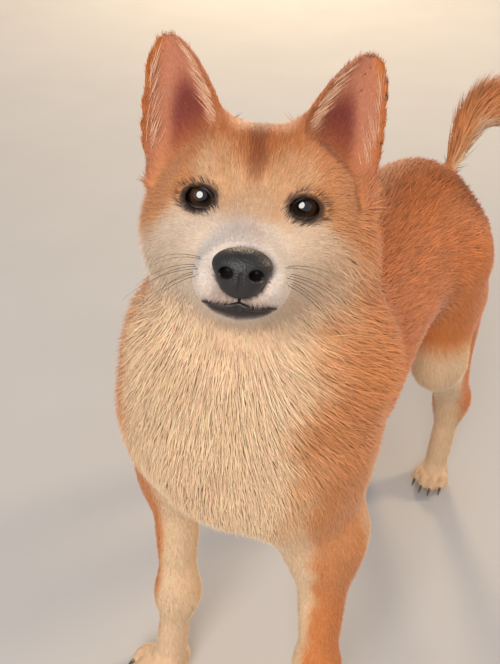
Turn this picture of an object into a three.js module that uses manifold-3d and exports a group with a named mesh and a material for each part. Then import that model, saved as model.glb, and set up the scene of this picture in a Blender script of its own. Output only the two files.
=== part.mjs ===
// A life-size young shiba inu that stands and looks up over its left shoulder.
// Millimetres, +Z up. The dog faces -Y, its left is +X, and it stands on Z = 0.
import * as THREE from "three";
import { mergeVertices, mergeGeometries } from "three/addons/utils/BufferGeometryUtils.js";
import Module from "manifold-3d";

const wasm = await Module();
wasm.setup();

// Driving dimensions
const GAP = 0.3; // kept between touching pieces
const WITHERS_HEIGHT = 370;
const CHEST_BOTTOM = 203;
const CHEST_HALF_WIDTH = 79;
const CHEST_SWAY = -6; // the chest leans over the right foreleg
const BUTTOCK_Y = 178;
const STANCE_FRONT = 58; // half the distance between the front legs
const STANCE_HIND = 51;
const FRONT_PAW = 0.9; // against a paw 46 wide
const HIND_PAW = 0.79;
const ELBOW_HEIGHT = 205;
const WRIST_HEIGHT = 88;
const HOCK_HEIGHT = 104;
const EYE_SPACING = 56;
const EYE_RADIUS = 11;
const NOSE_REACH = 73; // from the eyes to the nose tip
const EAR_HEIGHT = 60;
const HEAD_PLACE = [2, -158, 450]; // midway between the eyes
const HEAD_YAW = 29.4;
const HEAD_PITCH = 22;
const HEAD_ROLL = 4;

// How finely each region is meshed
const BODY_CELL = 15.6;
const LEG_CELL = 12;
const PAW_CELL = 6.8;
const HEAD_CELL = 7.2;
const NOSE_CELL = 3.3;

// The long coat: locks over a core that reaches half way out to their tips
const RUFF_CORE = 4.5; // how far the neck's core lies under the tips
const RUFF_LOCK = { length: 52, width: 41, thick: 4.6 };
const RUFF_ROWS = [0.87, 0.46]; // how far up between the neck's two ends
const RUFF_STANDING = [8.5, 5]; // how far each row's tips stand off the core
const RUFF_AROUND = 12;
const TAIL_CORE = 0.62; // the core's share of the brush's radius
const TAIL_LOCK = { length: 62, width: 40, thick: 4.6 };
const TAIL_ROWS = 6;
const TAIL_LOCKS_AROUND = 3;
const SEED = 7;

const v = (x, y, z) => new THREE.Vector3(x, y, z);
const radians = THREE.MathUtils.degToRad;
const mix = (a, b, t) => a + (b - a) * t;
const clamp01 = (t) => Math.min(1, Math.max(0, t));
const mirrored = (side, [x, y, z]) => [side * x, y, z];

// Distance fields. Each takes a point and gives millimetres outside the surface.
function ellipsoid([cx, cy, cz], [rx, ry, rz], tiltDegrees = 0) {
  const c = Math.cos(radians(tiltDegrees));
  const s = Math.sin(radians(tiltDegrees));
  return (x, y, z) => {
    const px = x - cx;
    const py = (y - cy) * c + (z - cz) * s;
    const pz = (z - cz) * c - (y - cy) * s;
    const near = Math.hypot(px / rx, py / ry, pz / rz);
    const slope = Math.hypot(px / rx ** 2, py / ry ** 2, pz / rz ** 2);
    return slope < 1e-9 ? -Math.min(rx, ry, rz) : (near * (near - 1)) / slope;
  };
}

function limb([ax, ay, az], [bx, by, bz], startRadius, endRadius, widthScale = 1) {
  const dx = (bx - ax) / widthScale;
  const dy = by - ay;
  const dz = bz - az;
  const length2 = dx * dx + dy * dy + dz * dz;
  return (x, y, z) => {
    const px = (x - ax) / widthScale;
    const py = y - ay;
    const pz = z - az;
    const t = clamp01((px * dx + py * dy + pz * dz) / length2);
    const away = Math.hypot(px - dx * t, py - dy * t, pz - dz * t);
    return away - mix(startRadius, endRadius, t);
  };
}

function blend(softness, ...fields) {
  return (x, y, z) => {
    let d = fields[0](x, y, z);
    for (let i = 1; i < fields.length; i++) {
      const e = fields[i](x, y, z);
      const h = Math.max(softness - Math.abs(d - e), 0) / softness;
      d = Math.min(d, e) - h * h * softness * 0.25;
    }
    return d;
  };
}

const grown = (field, by) => (x, y, z) => field(x, y, z) - by;

// The trunk: ribcage, breast, loin and croup
function trunkField() {
  const ribDepth = (WITHERS_HEIGHT - CHEST_BOTTOM) / 2;
  const ribMiddle = CHEST_BOTTOM + ribDepth;
  return blend(
    40,
    ellipsoid([CHEST_SWAY, -88, ribMiddle], [CHEST_HALF_WIDTH, 118, ribDepth]),
    ellipsoid([CHEST_SWAY, -150, 270], [70, 60, 62], -12),
    ellipsoid([-2, 38, 300], [62, 108, 65], 3),
    ellipsoid([0, BUTTOCK_Y - 64, 306], [58, 62, 68]),
  );
}

const footOut = (side) => (side > 0 ? STANCE_FRONT + 15 : STANCE_FRONT - 2);

function frontLegField(side) {
  const sway = CHEST_SWAY;
  const shoulder = [side * 54 + sway, -152, 262];
  const elbow = [side * (STANCE_FRONT + 7) + sway, -146, ELBOW_HEIGHT];
  const wrist = mirrored(side, [footOut(side), -172, WRIST_HEIGHT]);
  const pastern = mirrored(side, [footOut(side), -184, 34]);
  return blend(
    24,
    ellipsoid(shoulder, [33, 46, 74], 10),
    ellipsoid(elbow, [25, 30, 34]),
    limb(elbow, wrist, 23, 14.5),
    limb(wrist, pastern, 14.5, 14),
  );
}

function hindLegField(side) {
  const hip = mirrored(side, [36, 114, 284]);
  const knee = mirrored(side, [STANCE_HIND - 1, 94, 203]);
  const hock = mirrored(side, [STANCE_HIND, 166, HOCK_HEIGHT]);
  const pastern = mirrored(side, [STANCE_HIND, 156, 32]);
  return blend(
    24,
    limb(hip, knee, 52, 29, 0.74),
    limb(mirrored(side, [42, 140, 244]), hock, 36, 14, 0.8),
    limb(knee, hock, 25, 14, 0.9),
    limb(hock, pastern, 14.5, 14),
  );
}

// A paw: a heel pad and four toes, the middle two furthest forward
const TOES = [-1.5, -0.5, 0.5, 1.5];
const TOE_SPACING = 11.6;

function toePlace(order, size) {
  const spread = TOES[order] * TOE_SPACING;
  const reach = -25 + Math.abs(spread) * 0.72;
  return [spread * size, reach * size, 10.5 * size];
}

function pawField(place, turnDegrees, size) {
  const c = Math.cos(radians(turnDegrees));
  const s = Math.sin(radians(turnDegrees));
  const toes = TOES.map((_, i) => ellipsoid(toePlace(i, size), [7.6 * size, 15 * size, 12 * size], -14));
  const heel = ellipsoid([0, 3 * size, 14 * size], [19 * size, 21 * size, 17 * size]);
  const inner = blend(6, heel, ...toes);
  return (x, y, z) => {
    const px = x - place[0];
    const py = y - place[1];
    return inner(px * c + py * s, py * c - px * s, z);
  };
}

const PAWS = {
  front_left: { place: [footOut(1), -190], turn: 4, size: FRONT_PAW },
  front_right: { place: [-footOut(-1) - 3, -190], turn: -22, size: FRONT_PAW },
  hind_left: { place: [STANCE_HIND, 150], turn: 4, size: HIND_PAW },
  hind_right: { place: [-STANCE_HIND, 150], turn: -8, size: HIND_PAW },
};
const PAW_TOP = 44;

const neckField = blend(
  40,
  limb([-4, -138, 292], [-12, -116, 392], 72, 72),
  ellipsoid([-7, -128, 341], [92, 66, 46]),
  ellipsoid([-7, -165, 330], [66, 46, 66], -20),
);

// The head, in its own frame: the eyes' midpoint, with the muzzle along -Y
const headFrame = new THREE.Matrix4()
  .makeTranslation(...HEAD_PLACE)
  .multiply(new THREE.Matrix4().makeRotationZ(radians(HEAD_YAW)))
  .multiply(new THREE.Matrix4().makeRotationX(-radians(HEAD_PITCH)))
  .multiply(new THREE.Matrix4().makeRotationY(radians(HEAD_ROLL)));
const toHead = headFrame.clone().invert();
const inHead = (x, y, z) => v(x, y, z).applyMatrix4(headFrame);

const both = (make) => [make(-1), make(1)];
const SKULL = [57, 50, 42];
const CHEEK_OUT = 32;
const LIP_LEVEL = -37;
const EYE_CENTRES = both((s) => [(s * EYE_SPACING) / 2, 8, 0]);

function headShape() {
  const tip = -NOSE_REACH + 22;
  return blend(
    17,
    ellipsoid([0, 48, -2], SKULL),
    ellipsoid([0, 24, 14], [36, 27, 25]),
    ...both((s) => ellipsoid([s * CHEEK_OUT, 38, -20], [31, 40, 34])),
    ...both((s) => ellipsoid([s * 20, 6, -24], [22, 34, 24])),
    limb([0, 4, -20], [0, tip, -25], 27, 12, 1.12),
    limb([0, 16, -46], [0, tip + 2, -44], 25, 10.5, 1.25),
    ...both((s) => ellipsoid([s * 11, tip + 5, -35], [12, 17, 11])),
    ...EYE_CENTRES.map((c) => ellipsoid(c, [14.5, 12.8, 13])),
  );
}
const headLocal = headShape();
const headRows = toHead.elements;
const headField = (x, y, z) => {
  const m = headRows;
  return headLocal(
    m[0] * x + m[4] * y + m[8] * z + m[12],
    m[1] * x + m[5] * y + m[9] * z + m[13],
    m[2] * x + m[6] * y + m[10] * z + m[14],
  );
};

const legFields = [frontLegField(1), frontLegField(-1), hindLegField(1), hindLegField(-1)];
const pawFields = Object.values(PAWS).map((p) => pawField(p.place, p.turn, p.size));
const plainField = blend(14, blend(30, blend(24, trunkField(), ...legFields), neckField, headField), ...pawFields);

const FAR = 1200;

// The planes that bound the neck, and the core of its long coat between them
const NECK_CUT = { point: v(0, -145, 303), normal: v(0, -0.48, 0.88).normalize() };
const headAxis = v(0, -0.75, 0.66).transformDirection(headFrame);
const HEAD_CUT = { point: inHead(0, 56, -34), normal: headAxis };
const planeDistance = (plane, x, y, z) =>
  (x - plane.point.x) * plane.normal.x + (y - plane.point.y) * plane.normal.y + (z - plane.point.z) * plane.normal.z;

const wholeField = (x, y, z) => {
  const within = Math.min(planeDistance(NECK_CUT, x, y, z), -planeDistance(HEAD_CUT, x, y, z));
  return plainField(x, y, z) + RUFF_CORE * clamp01(within / 22);
};

// Turns a field into a closed mesh on a grid of cells, one vertex a cell, set on the surface
function meshOf(field, low, high, cell) {
  const count = low.map((l, i) => Math.ceil((high[i] - l) / cell) + 1);
  const at = (i, j, k) => (k * count[1] + j) * count[0] + i;
  const value = new Float32Array(count[0] * count[1] * count[2]);
  for (let k = 0; k < count[2]; k++)
    for (let j = 0; j < count[1]; j++)
      for (let i = 0; i < count[0]; i++) {
        const edge = i * j * k === 0 || i === count[0] - 1 || j === count[1] - 1 || k === count[2] - 1;
        value[at(i, j, k)] = edge
          ? FAR
          : field(low[0] + i * cell, low[1] + j * cell, low[2] + k * cell);
      }
  fillPinches(value, at, count);
  const positions = [];
  const vertexOf = new Map();
  const vertexAt = (i, j, k) => {
    const key = at(i, j, k);
    if (!vertexOf.has(key)) {
      vertexOf.set(key, positions.length / 3);
      positions.push(...cellVertex(field, value, at, low, cell, i, j, k));
    }
    return vertexOf.get(key);
  };
  const triangles = [];
  const axes = [[1, 0, 0], [0, 1, 0], [0, 0, 1]];
  for (let k = 0; k + 1 < count[2]; k++)
    for (let j = 0; j + 1 < count[1]; j++)
      for (let i = 0; i + 1 < count[0]; i++)
        axes.forEach((a, n) => {
          const here = value[at(i, j, k)] < 0;
          if (here === value[at(i + a[0], j + a[1], k + a[2])] < 0) return;
          const b = axes[(n + 1) % 3];
          const c = axes[(n + 2) % 3];
          const quad = [[0, 0], [1, 0], [1, 1], [0, 1]].map(([s, t]) =>
            vertexAt(i - s * b[0] - t * c[0], j - s * b[1] - t * c[1], k - s * b[2] - t * c[2]),
          );
          if (!here) quad.reverse();
          triangles.push(quad[0], quad[1], quad[2], quad[0], quad[2], quad[3]);
        });
  return solidFrom(positions, triangles);
}

// Whether the corners picked out by a bit mask hang together along a cell's edges
function hangsTogether(mask) {
  if (!mask) return true;
  let reached = mask & -mask;
  for (let turn = 0; turn < 8; turn++)
    for (let a = 0; a < 8; a++)
      for (let bit = 1; bit < 8; bit <<= 1)
        if ((reached >> a) & 1 && (mask >> (a ^ bit)) & 1) reached |= 1 << (a ^ bit);
  return reached === mask;
}
const SIMPLE_CELL = Array.from({ length: 256 }, (_, m) => hangsTogether(m) && hangsTogether(255 - m));

// Fills any cell through which the surface would pass twice
function fillPinches(value, at, count) {
  let changed = true;
  while (changed) {
    changed = false;
    for (let k = 0; k + 1 < count[2]; k++)
      for (let j = 0; j + 1 < count[1]; j++)
        for (let i = 0; i + 1 < count[0]; i++) {
          const corners = [0, 1, 2, 3, 4, 5, 6, 7].map((n) => at(i + (n & 1), j + ((n >> 1) & 1), k + (n >> 2)));
          const mask = corners.reduce((m, c, n) => m | ((value[c] < 0) << n), 0);
          if (SIMPLE_CELL[mask]) continue;
          const outside = corners.filter((c) => value[c] >= 0);
          const nearest = outside.reduce((a, b) => (value[b] < value[a] ? b : a));
          value[nearest] = -0.01;
          changed = true;
        }
  }
}

// The mean of the crossings on a cell's edges, then moved along the slope on to the surface
function cellVertex(field, value, at, low, cell, i, j, k) {
  const corners = [];
  for (let n = 0; n < 8; n++) corners.push([i + (n & 1), j + ((n >> 1) & 1), k + (n >> 2)]);
  const sum = [0, 0, 0];
  let crossings = 0;
  for (let a = 0; a < 8; a++)
    for (let bit = 1; bit < 8; bit <<= 1) {
      if (a & bit) continue;
      const da = value[at(...corners[a])];
      const db = value[at(...corners[a | bit])];
      if (da < 0 === db < 0) continue;
      const t = da / (da - db);
      crossings++;
      for (let n = 0; n < 3; n++) sum[n] += mix(corners[a][n], corners[a | bit][n], t);
    }
  const p = sum.map((s, n) => low[n] + (s / crossings) * cell);
  const step = 0.5;
  for (let turn = 0; turn < 3; turn++) {
    const d = field(...p);
    const slope = [
      (field(p[0] + step, p[1], p[2]) - d) / step,
      (field(p[0], p[1] + step, p[2]) - d) / step,
      (field(p[0], p[1], p[2] + step) - d) / step,
    ];
    const size2 = slope.reduce((t, g) => t + g * g, 1e-9);
    const reach = Math.max(-cell * 0.3, Math.min(cell * 0.3, d));
    for (let n = 0; n < 3; n++) p[n] -= (reach * slope[n]) / size2;
  }
  return p.map((x, n) => Math.min(low[n] + [i, j, k][n] * cell + cell, Math.max(low[n] + [i, j, k][n] * cell, x)));
}

function solidFrom(positions, triangles) {
  const mesh = new wasm.Mesh({
    numProp: 3,
    vertProperties: new Float32Array(positions),
    triVerts: new Uint32Array(triangles),
  });
  return new wasm.Manifold(mesh);
}

// A closed three.js geometry as a solid
function solidOf(geometry) {
  const bare = geometry.clone();
  bare.deleteAttribute("normal");
  bare.deleteAttribute("uv");
  const merged = mergeVertices(bare, 1e-4);
  return solidFrom(merged.attributes.position.array, merged.index.array);
}

// Rings of points, from root to tip, as one closed geometry
function loft(rings) {
  const around = rings[0].length;
  const positions = rings.flat().flatMap((p) => [p.x, p.y, p.z]);
  const triangles = [];
  for (let r = 0; r + 1 < rings.length; r++)
    for (let n = 0; n < around; n++) {
      const a = r * around + n;
      const b = r * around + ((n + 1) % around);
      triangles.push(a, b, b + around, a, b + around, a + around);
    }
  const last = (rings.length - 1) * around;
  for (let n = 1; n + 1 < around; n++) {
    triangles.push(0, n + 1, n);
    triangles.push(last, last + n, last + n + 1);
  }
  const geometry = new THREE.BufferGeometry();
  geometry.setAttribute("position", new THREE.Float32BufferAttribute(positions, 3));
  geometry.setIndex(triangles);
  return geometry;
}

// Everything on the side of a plane that its normal points to, less half the gap
function halfSpace(point, normal) {
  const box = new THREE.BoxGeometry(FAR, FAR, FAR).translate(0, 0, FAR / 2 + GAP / 2);
  const turn = new THREE.Quaternion().setFromUnitVectors(v(0, 0, 1), normal.clone().normalize());
  return solidOf(box.applyQuaternion(turn).translate(point.x, point.y, point.z));
}

function bothSides(point, normal) {
  return [halfSpace(point, normal), halfSpace(point, normal.clone().negate())];
}

function largestOf(solid) {
  const bodies = solid.decompose();
  return bodies.reduce((a, b) => (b.volume() > a.volume() ? b : a));
}

// A round bar along a path, thinner towards its ends
function bar(path, radius, around = 5) {
  const rings = path.map((point, n) => {
    const before = path[Math.max(0, n - 1)];
    const after = path[Math.min(path.length - 1, n + 1)];
    const along = after.clone().sub(before).normalize();
    const side = v(0, 0, 1).cross(along).normalize();
    const up = along.clone().cross(side);
    const end = n === 0 || n === path.length - 1 ? 0.4 : 1;
    return Array.from({ length: around }, (_, a) => {
      const turn = (a / around) * Math.PI * 2;
      const offset = side.clone().multiplyScalar(Math.cos(turn)).addScaledVector(up, Math.sin(turn));
      return point.clone().addScaledVector(offset, radius * end);
    });
  });
  return solidOf(loft(rings));
}

// Goes out from a point until it meets the head's surface, all in the head's frame
function onHead(from, towards) {
  const p = from.clone();
  for (let turn = 0; turn < 60; turn++) p.addScaledVector(towards, -headLocal(p.x, p.y, p.z) * 0.8);
  return p;
}
const placed = (solid) => solid.transform(headFrame.elements);
const LIP_CORNER_ANGLE = 118;
const LIP_STEPS = 22;

function lipGroove() {
  const path = [];
  for (let n = 0; n <= LIP_STEPS; n++) {
    const turn = radians(mix(-LIP_CORNER_ANGLE, LIP_CORNER_ANGLE, n / LIP_STEPS));
    const back = Math.abs(turn) / radians(LIP_CORNER_ANGLE);
    const level = LIP_LEVEL - 4 * Math.sin(Math.min(1, back * 2.2) * Math.PI) + 3 * back ** 3;
    path.push(onHead(v(0, -34, level), v(Math.sin(turn), -Math.cos(turn), 0)));
  }
  return placed(bar(path, 1.3));
}

function philtrum() {
  const path = [];
  for (let n = 0; n <= 4; n++) path.push(onHead(v(0, -40, mix(-28, LIP_LEVEL, n / 4)), v(0, -1, 0)));
  return placed(bar(path.map((p, n) => p.add(v(n * 1e-3, 0, 0))), 1));
}

// The opening between the lids: pointed at both corners and tilted up at the outer one
function lidOpening(side, centre) {
  const outline = new THREE.Shape();
  outline.moveTo(-8.6, -1.6);
  outline.quadraticCurveTo(-1.5, 11.5, 9, 1.8);
  outline.quadraticCurveTo(1.5, -10, -8.6, -1.6);
  const block = new THREE.ExtrudeGeometry(outline, { depth: 30, bevelEnabled: false, curveSegments: 6 });
  block.rotateX(Math.PI / 2);
  const opening = solidOf(block);
  const facing = side > 0 ? opening : opening.mirror([1, 0, 0]);
  return placed(facing.rotate([0, 0, side * 14]).translate(centre));
}

function eyeball(centre, radius) {
  return placed(solidOf(new THREE.SphereGeometry(radius, 14, 9)).translate(centre));
}

// The nose pad: broad on top, narrower below, with two comma-shaped nostrils
function nosePad() {
  const front = -NOSE_REACH;
  return blend(
    5,
    ellipsoid([0, front + 10, -25], [14.6, 10.5, 8.6]),
    ellipsoid([0, front + 10, -32], [11, 9.5, 9]),
  );
}

function noseField() {
  const front = -NOSE_REACH;
  const pad = nosePad();
  const nostrils = both((s) => ellipsoid([s * 7, front + 2, -28], [3.4, 6, 2.6]));
  const slits = both((s) => limb([s * 8, front + 1, -28.6], [s * 14, front + 8, -31], 1.5, 1.2));
  const holes = blend(1.5, ...nostrils, ...slits);
  return (x, y, z) => Math.max(pad(x, y, z), -holes(x, y, z));
}

function noseSolid(field) {
  const front = -NOSE_REACH;
  return placed(meshOf(field, [-22, front - 5, -46], [22, front + 26, -10], NOSE_CELL));
}

// An ear: a cupped leaf, open to the front, its sides meeting in a rounded tip
const EAR_BASE = [43, 36, 28];
const EAR_HALF_WIDTH = 27.5;
const EAR_WALL = 4.5;
const EAR_LEVELS = 9;
const EAR_AROUND = 7;

function earSolid(side) {
  const rings = [];
  for (let n = 0; n <= EAR_LEVELS; n++) {
    const t = n / EAR_LEVELS;
    const half = EAR_HALF_WIDTH * Math.sqrt(1 - t ** 2.6) * (1 - 0.33 * t) + 1.6;
    const cup = half * 0.62;
    const wall = EAR_WALL * (1 - 0.55 * t);
    const ring = [];
    for (let m = 0; m <= EAR_AROUND; m++) {
      const a = mix(-1, 1, m / EAR_AROUND) * 1.25;
      ring.push([(Math.sin(a) / Math.sin(1.25)) * half, (Math.cos(a) - 0.3) * cup]);
    }
    for (let m = EAR_AROUND; m >= 0; m--) {
      const a = mix(-1, 1, m / EAR_AROUND) * 1.25;
      const inner = half - wall * 0.6;
      ring.push([(Math.sin(a) / Math.sin(1.25)) * inner, (Math.cos(a) - 0.3) * cup - wall]);
    }
    const lean = t * t * 3;
    rings.push(ring.reverse().map(([x, y]) => v(x + lean, y, t * (EAR_HEIGHT + 18) - 18)));
  }
  const geometry = loft(rings);
  geometry.rotateX(radians(-6));
  geometry.rotateZ(radians(12));
  geometry.rotateY(radians(14));
  geometry.translate(...EAR_BASE);
  const solid = solidOf(geometry);
  return placed(side > 0 ? solid : solid.mirror([1, 0, 0]));
}

// The tail: up from the croup, over to the left and down beside the buttock
const TAIL = [
  [10, 146, 340, 15],
  [13, 162, 368, 16],
  [18, 172, 392, 20],
  [32, 178, 408, 25],
  [56, 184, 407, 26],
  [75, 188, 382, 25],
  [81, 190, 346, 21],
  [79, 189, 312, 13],
  [77, 188, 290, 4],
];
const TAIL_STEPS = 15;
const TAIL_AROUND = 8;
const tailCurve = new THREE.CatmullRomCurve3(TAIL.map(([x, y, z]) => v(x, y, z)));
const tailRadius = (t) => {
  const n = Math.min(TAIL.length - 2, Math.floor(t * (TAIL.length - 1)));
  return mix(TAIL[n][3], TAIL[n + 1][3], t * (TAIL.length - 1) - n);
};

// A direction square to the tail's path, kept turning with it and pointing out of the curl
function tailOut(t) {
  const along = tailCurve.getTangent(t);
  const out = tailCurve.getPoint(t).sub(v(48, 183, 362));
  return out.addScaledVector(along, -out.dot(along)).normalize();
}

// The root of the tail is smooth; the brush's core is thinner than its coat
const coreShare = (t) => mix(1, TAIL_CORE, clamp01((t - 0.05) / 0.15));

// A small generator of repeatable random numbers between 0 and 1
function randomFrom(seed) {
  let state = seed;
  return () => {
    state = (Math.imul(state, 1664525) + 1013904223) >>> 0;
    return state / 4294967296;
  };
}

// One flat, tapered lock that rises from its root and lies over along its way
function lock(root, way, out, { length, width, thick }, rise) {
  const across = way.clone().cross(out).normalize();
  const steps = [[0, 0.75, 1], [0.38, 1, 0.9], [0.74, 0.66, 0.6], [1, 0.06, 0.16]];
  const rings = steps.map(([s, wide, deep]) => {
    const lift = rise * Math.sin(Math.min(1, s * 1.15) * Math.PI * 0.5);
    const centre = root.clone().addScaledVector(way, length * s).addScaledVector(out, lift);
    const w = (width / 2) * wide;
    const d = (thick / 2) * deep;
    return [[w, 0], [0, d], [-w, 0], [0, -d]].map(([a, b]) =>
      centre.clone().addScaledVector(across, -a).addScaledVector(out, b),
    );
  });
  return solidOf(loft(rings));
}

function joined(solids) {
  return solids.reduce((a, b) => a.add(b));
}

function tailLocks() {
  const random = randomFrom(SEED);
  const locks = [];
  for (let row = 0; row < TAIL_ROWS; row++)
    for (let n = 0; n < TAIL_LOCKS_AROUND; n++) {
      const t = mix(0.13, 0.86, (row + random() * 0.4) / (TAIL_ROWS - 1));
      const along = tailCurve.getTangent(t);
      const first = tailOut(t);
      const across = along.clone().cross(first);
      const turn = ((n + (row % 2) / 2 + (random() - 0.5) * 0.3) / TAIL_LOCKS_AROUND) * Math.PI * 2;
      const out = first.multiplyScalar(Math.cos(turn)).addScaledVector(across, Math.sin(turn));
      const radius = tailRadius(t);
      const ahead = Math.min(1, t + (TAIL_LOCK.length * 0.9) / tailCurve.getLength());
      const root = tailCurve.getPoint(t).addScaledVector(out, radius * coreShare(t) - 4.5);
      const tip = tailCurve.getPoint(ahead).addScaledVector(out, tailRadius(ahead) * 0.98);
      const reach = tip.clone().sub(root);
      const length = reach.length() * mix(0.94, 1.06, random());
      locks.push(lock(root, reach.normalize(), out, { ...TAIL_LOCK, length }, 2.5));
    }
  return joined(locks);
}

// Locks of the ruff, in staggered rows round the neck, lying down and back
function ruffLocks() {
  const random = randomFrom(SEED + 1);
  const locks = [];
  const low = v(-3, -138, 262);
  const high = v(-12, -114, 440);
  const axis = high.clone().sub(low).normalize();
  const ahead = v(0, -1, 0).addScaledVector(axis, axis.y).normalize();
  const leftward = ahead.clone().cross(axis);
  RUFF_ROWS.forEach((share, row) => {
    for (let n = 0; n < RUFF_AROUND; n++) {
      const turn = ((n + row / 2 + (random() - 0.5) * 0.3) / RUFF_AROUND) * Math.PI * 2;
      const side = ahead.clone().multiplyScalar(Math.cos(turn)).addScaledVector(leftward, Math.sin(turn));
      const root = neckPlace(low, high, side, share + (random() - 0.5) * 0.08);
      const down = axis.clone().multiplyScalar(-1).addScaledVector(v(0, 1, 0), 0.25);
      const out = slopeAt(wholeField, root);
      down.addScaledVector(out, -down.dot(out)).normalize();
      root.addScaledVector(out, -4.2);
      const length = RUFF_LOCK.length * mix(0.85, 1.15, random());
      const standing = RUFF_STANDING[row] * mix(0.85, 1.15, random());
      locks.push(lock(root, down, out, { ...RUFF_LOCK, length }, standing));
    }
  });
  return joined(locks);
}

// The place on the neck, out to one side of its axis, a given share of the way up between its ends
function neckPlace(low, high, side, share) {
  let best = null;
  for (let n = 0; n <= 40; n++) {
    const spot = low.clone().lerp(high, n / 40);
    for (let step = 0; step < 40; step++) spot.addScaledVector(side, -wholeField(spot.x, spot.y, spot.z) * 0.8);
    const up = planeDistance(NECK_CUT, spot.x, spot.y, spot.z);
    const left = -planeDistance(HEAD_CUT, spot.x, spot.y, spot.z);
    const miss = Math.abs(up / (up + left) - share);
    if (up > 0 && left > 0 && (!best || miss < best.miss)) best = { spot, miss };
  }
  return best.spot;
}

function slopeAt(field, p) {
  const here = field(p.x, p.y, p.z);
  return v(field(p.x + 1, p.y, p.z) - here, field(p.x, p.y + 1, p.z) - here, field(p.x, p.y, p.z + 1) - here).normalize();
}

function tailSolid() {
  const rings = [];
  for (let n = 0; n <= TAIL_STEPS; n++) {
    const t = n / TAIL_STEPS;
    const along = tailCurve.getTangent(t);
    const out = tailOut(t);
    const across = along.clone().cross(out);
    const centre = tailCurve.getPoint(t);
    rings.push(
      Array.from({ length: TAIL_AROUND }, (_, a) => {
        const turn = (a / TAIL_AROUND) * Math.PI * 2;
        const offset = out.clone().multiplyScalar(Math.cos(turn)).addScaledVector(across, Math.sin(turn));
        return centre.clone().addScaledVector(offset, tailRadius(t) * coreShare(t));
      }),
    );
  }
  return solidOf(loft(rings));
}

// The planes that part the body
const [aboveNeckCut, belowNeckCut] = bothSides(NECK_CUT.point, NECK_CUT.normal);
const [aboveHeadCut, belowHeadCut] = bothSides(HEAD_CUT.point, HEAD_CUT.normal);
const [abovePaws, belowPaws] = bothSides(v(0, 0, PAW_TOP), v(0, 0, 1));
const [abovefloor] = bothSides(v(0, 0, -GAP / 2), v(0, 0, 1));
const [behindMiddle, beforeMiddle] = bothSides(v(0, 0, 0), v(0, 1, 0));
const [leftHalf, rightHalf] = bothSides(v(0, 0, 0), v(1, 0, 0));

function legCut(side, front) {
  const point = front ? v(side * 40, -150, 168) : v(side * 22, 120, 178);
  const normal = front ? v(-side * 0.72, 0, 0.7) : v(-side * 0.9, 0, 0.44);
  return bothSides(point, normal);
}

const bodySolid = meshOf(wholeField, [-130, -260, -30], [130, 220, 470], BODY_CELL);
const legsSolid = meshOf(wholeField, [-110, -250, 20], [110, 206, 306], LEG_CELL);
const pawsSolid = meshOf(wholeField, [-100, -250, -20], [100, 190, 60], PAW_CELL);
const headSolid = meshOf(wholeField, [-130, -270, 340], [110, -10, 540], HEAD_CELL);

const LEGS = { front_left: [1, true], front_right: [-1, true], hind_left: [1, false], hind_right: [-1, false] };
const materials = {
  coat: new THREE.MeshStandardMaterial({ color: 0xc07a48, roughness: 0.85, metalness: 0 }),
  cream: new THREE.MeshStandardMaterial({ color: 0xe0c3a4, roughness: 0.85, metalness: 0 }),
  leather: new THREE.MeshStandardMaterial({ color: 0x1d1b1c, roughness: 0.45, metalness: 0 }),
  eye: new THREE.MeshStandardMaterial({ color: 0x2b1a10, roughness: 0.08, metalness: 0 }),
};
const dog = new THREE.Group();

function add(name, solid, material) {
  const mesh = largestOf(solid).getMesh();
  const geometry = new THREE.BufferGeometry();
  geometry.setAttribute("position", new THREE.BufferAttribute(mesh.vertProperties, 3));
  geometry.setIndex(new THREE.BufferAttribute(mesh.triVerts, 1));
  const node = new THREE.Mesh(geometry, material.clone());
  node.name = name;
  dog.add(node);
}

let torso = bodySolid.intersect(belowNeckCut).intersect(abovePaws);
for (const [name, [side, front]] of Object.entries(LEGS)) {
  const [above, below] = legCut(side, front);
  const sideHalf = side > 0 ? leftHalf : rightHalf;
  const endHalf = front ? beforeMiddle : behindMiddle;
  const quarter = sideHalf.intersect(endHalf);
  const legRegion = below.intersect(quarter).intersect(belowNeckCut);
  add("leg_" + name, legsSolid.intersect(legRegion).intersect(abovePaws), materials.coat);
  add("paw_" + name, pawsSolid.intersect(quarter).intersect(belowPaws).intersect(abovefloor), materials.cream);
  const notTorso = solidOf(new THREE.BoxGeometry(FAR, FAR, FAR)).subtract(above);
  torso = torso.subtract(notTorso.intersect(quarter));
}
add("torso", torso, materials.coat);
add("neck", bodySolid.add(ruffLocks()).intersect(aboveNeckCut).intersect(belowHeadCut), materials.coat);

let head = headSolid.subtract(lipGroove()).subtract(philtrum());
for (const side of [-1, 1]) {
  const word = side > 0 ? "left" : "right";
  const centre = EYE_CENTRES[side > 0 ? 1 : 0];
  head = head.subtract(eyeball(centre, EYE_RADIUS + GAP)).subtract(lidOpening(side, centre));
  add("eye_" + word, eyeball(centre, EYE_RADIUS), materials.eye);
  const lift = v(side * 0.2, 0.05, 1).transformDirection(headFrame).multiplyScalar(GAP * 1.4);
  add("ear_" + word, earSolid(side).subtract(headSolid).translate(lift.toArray()), materials.coat);
}
head = head.intersect(aboveHeadCut).subtract(noseSolid(grown(nosePad(), GAP * 1.5)));
add("head", head, materials.coat);
add("nose", noseSolid(noseField()), materials.leather);

const [leftOfTail, rightOfTail] = bothSides(v(26, 0, 0), v(1, 0, 0));
const [aboveTip, belowTip] = bothSides(v(0, 0, 358), v(0, 0, 1));
const tail = tailSolid().add(tailLocks());
const lifted = tail.subtract(bodySolid).translate([0, GAP * 0.5, GAP * 1.4]);
add("tail_root", lifted.intersect(rightOfTail), materials.coat);
add("tail_arch", lifted.intersect(leftOfTail).intersect(aboveTip), materials.coat);
add("tail_tip", lifted.intersect(leftOfTail).intersect(belowTip), materials.cream);

// The origin is under the middle of the whole animal, on the floor
const box = new THREE.Box3().setFromObject(dog);
const middle = box.getCenter(v(0, 0, 0));
dog.position.set(-middle.x, -middle.y, -box.min.z);

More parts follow.
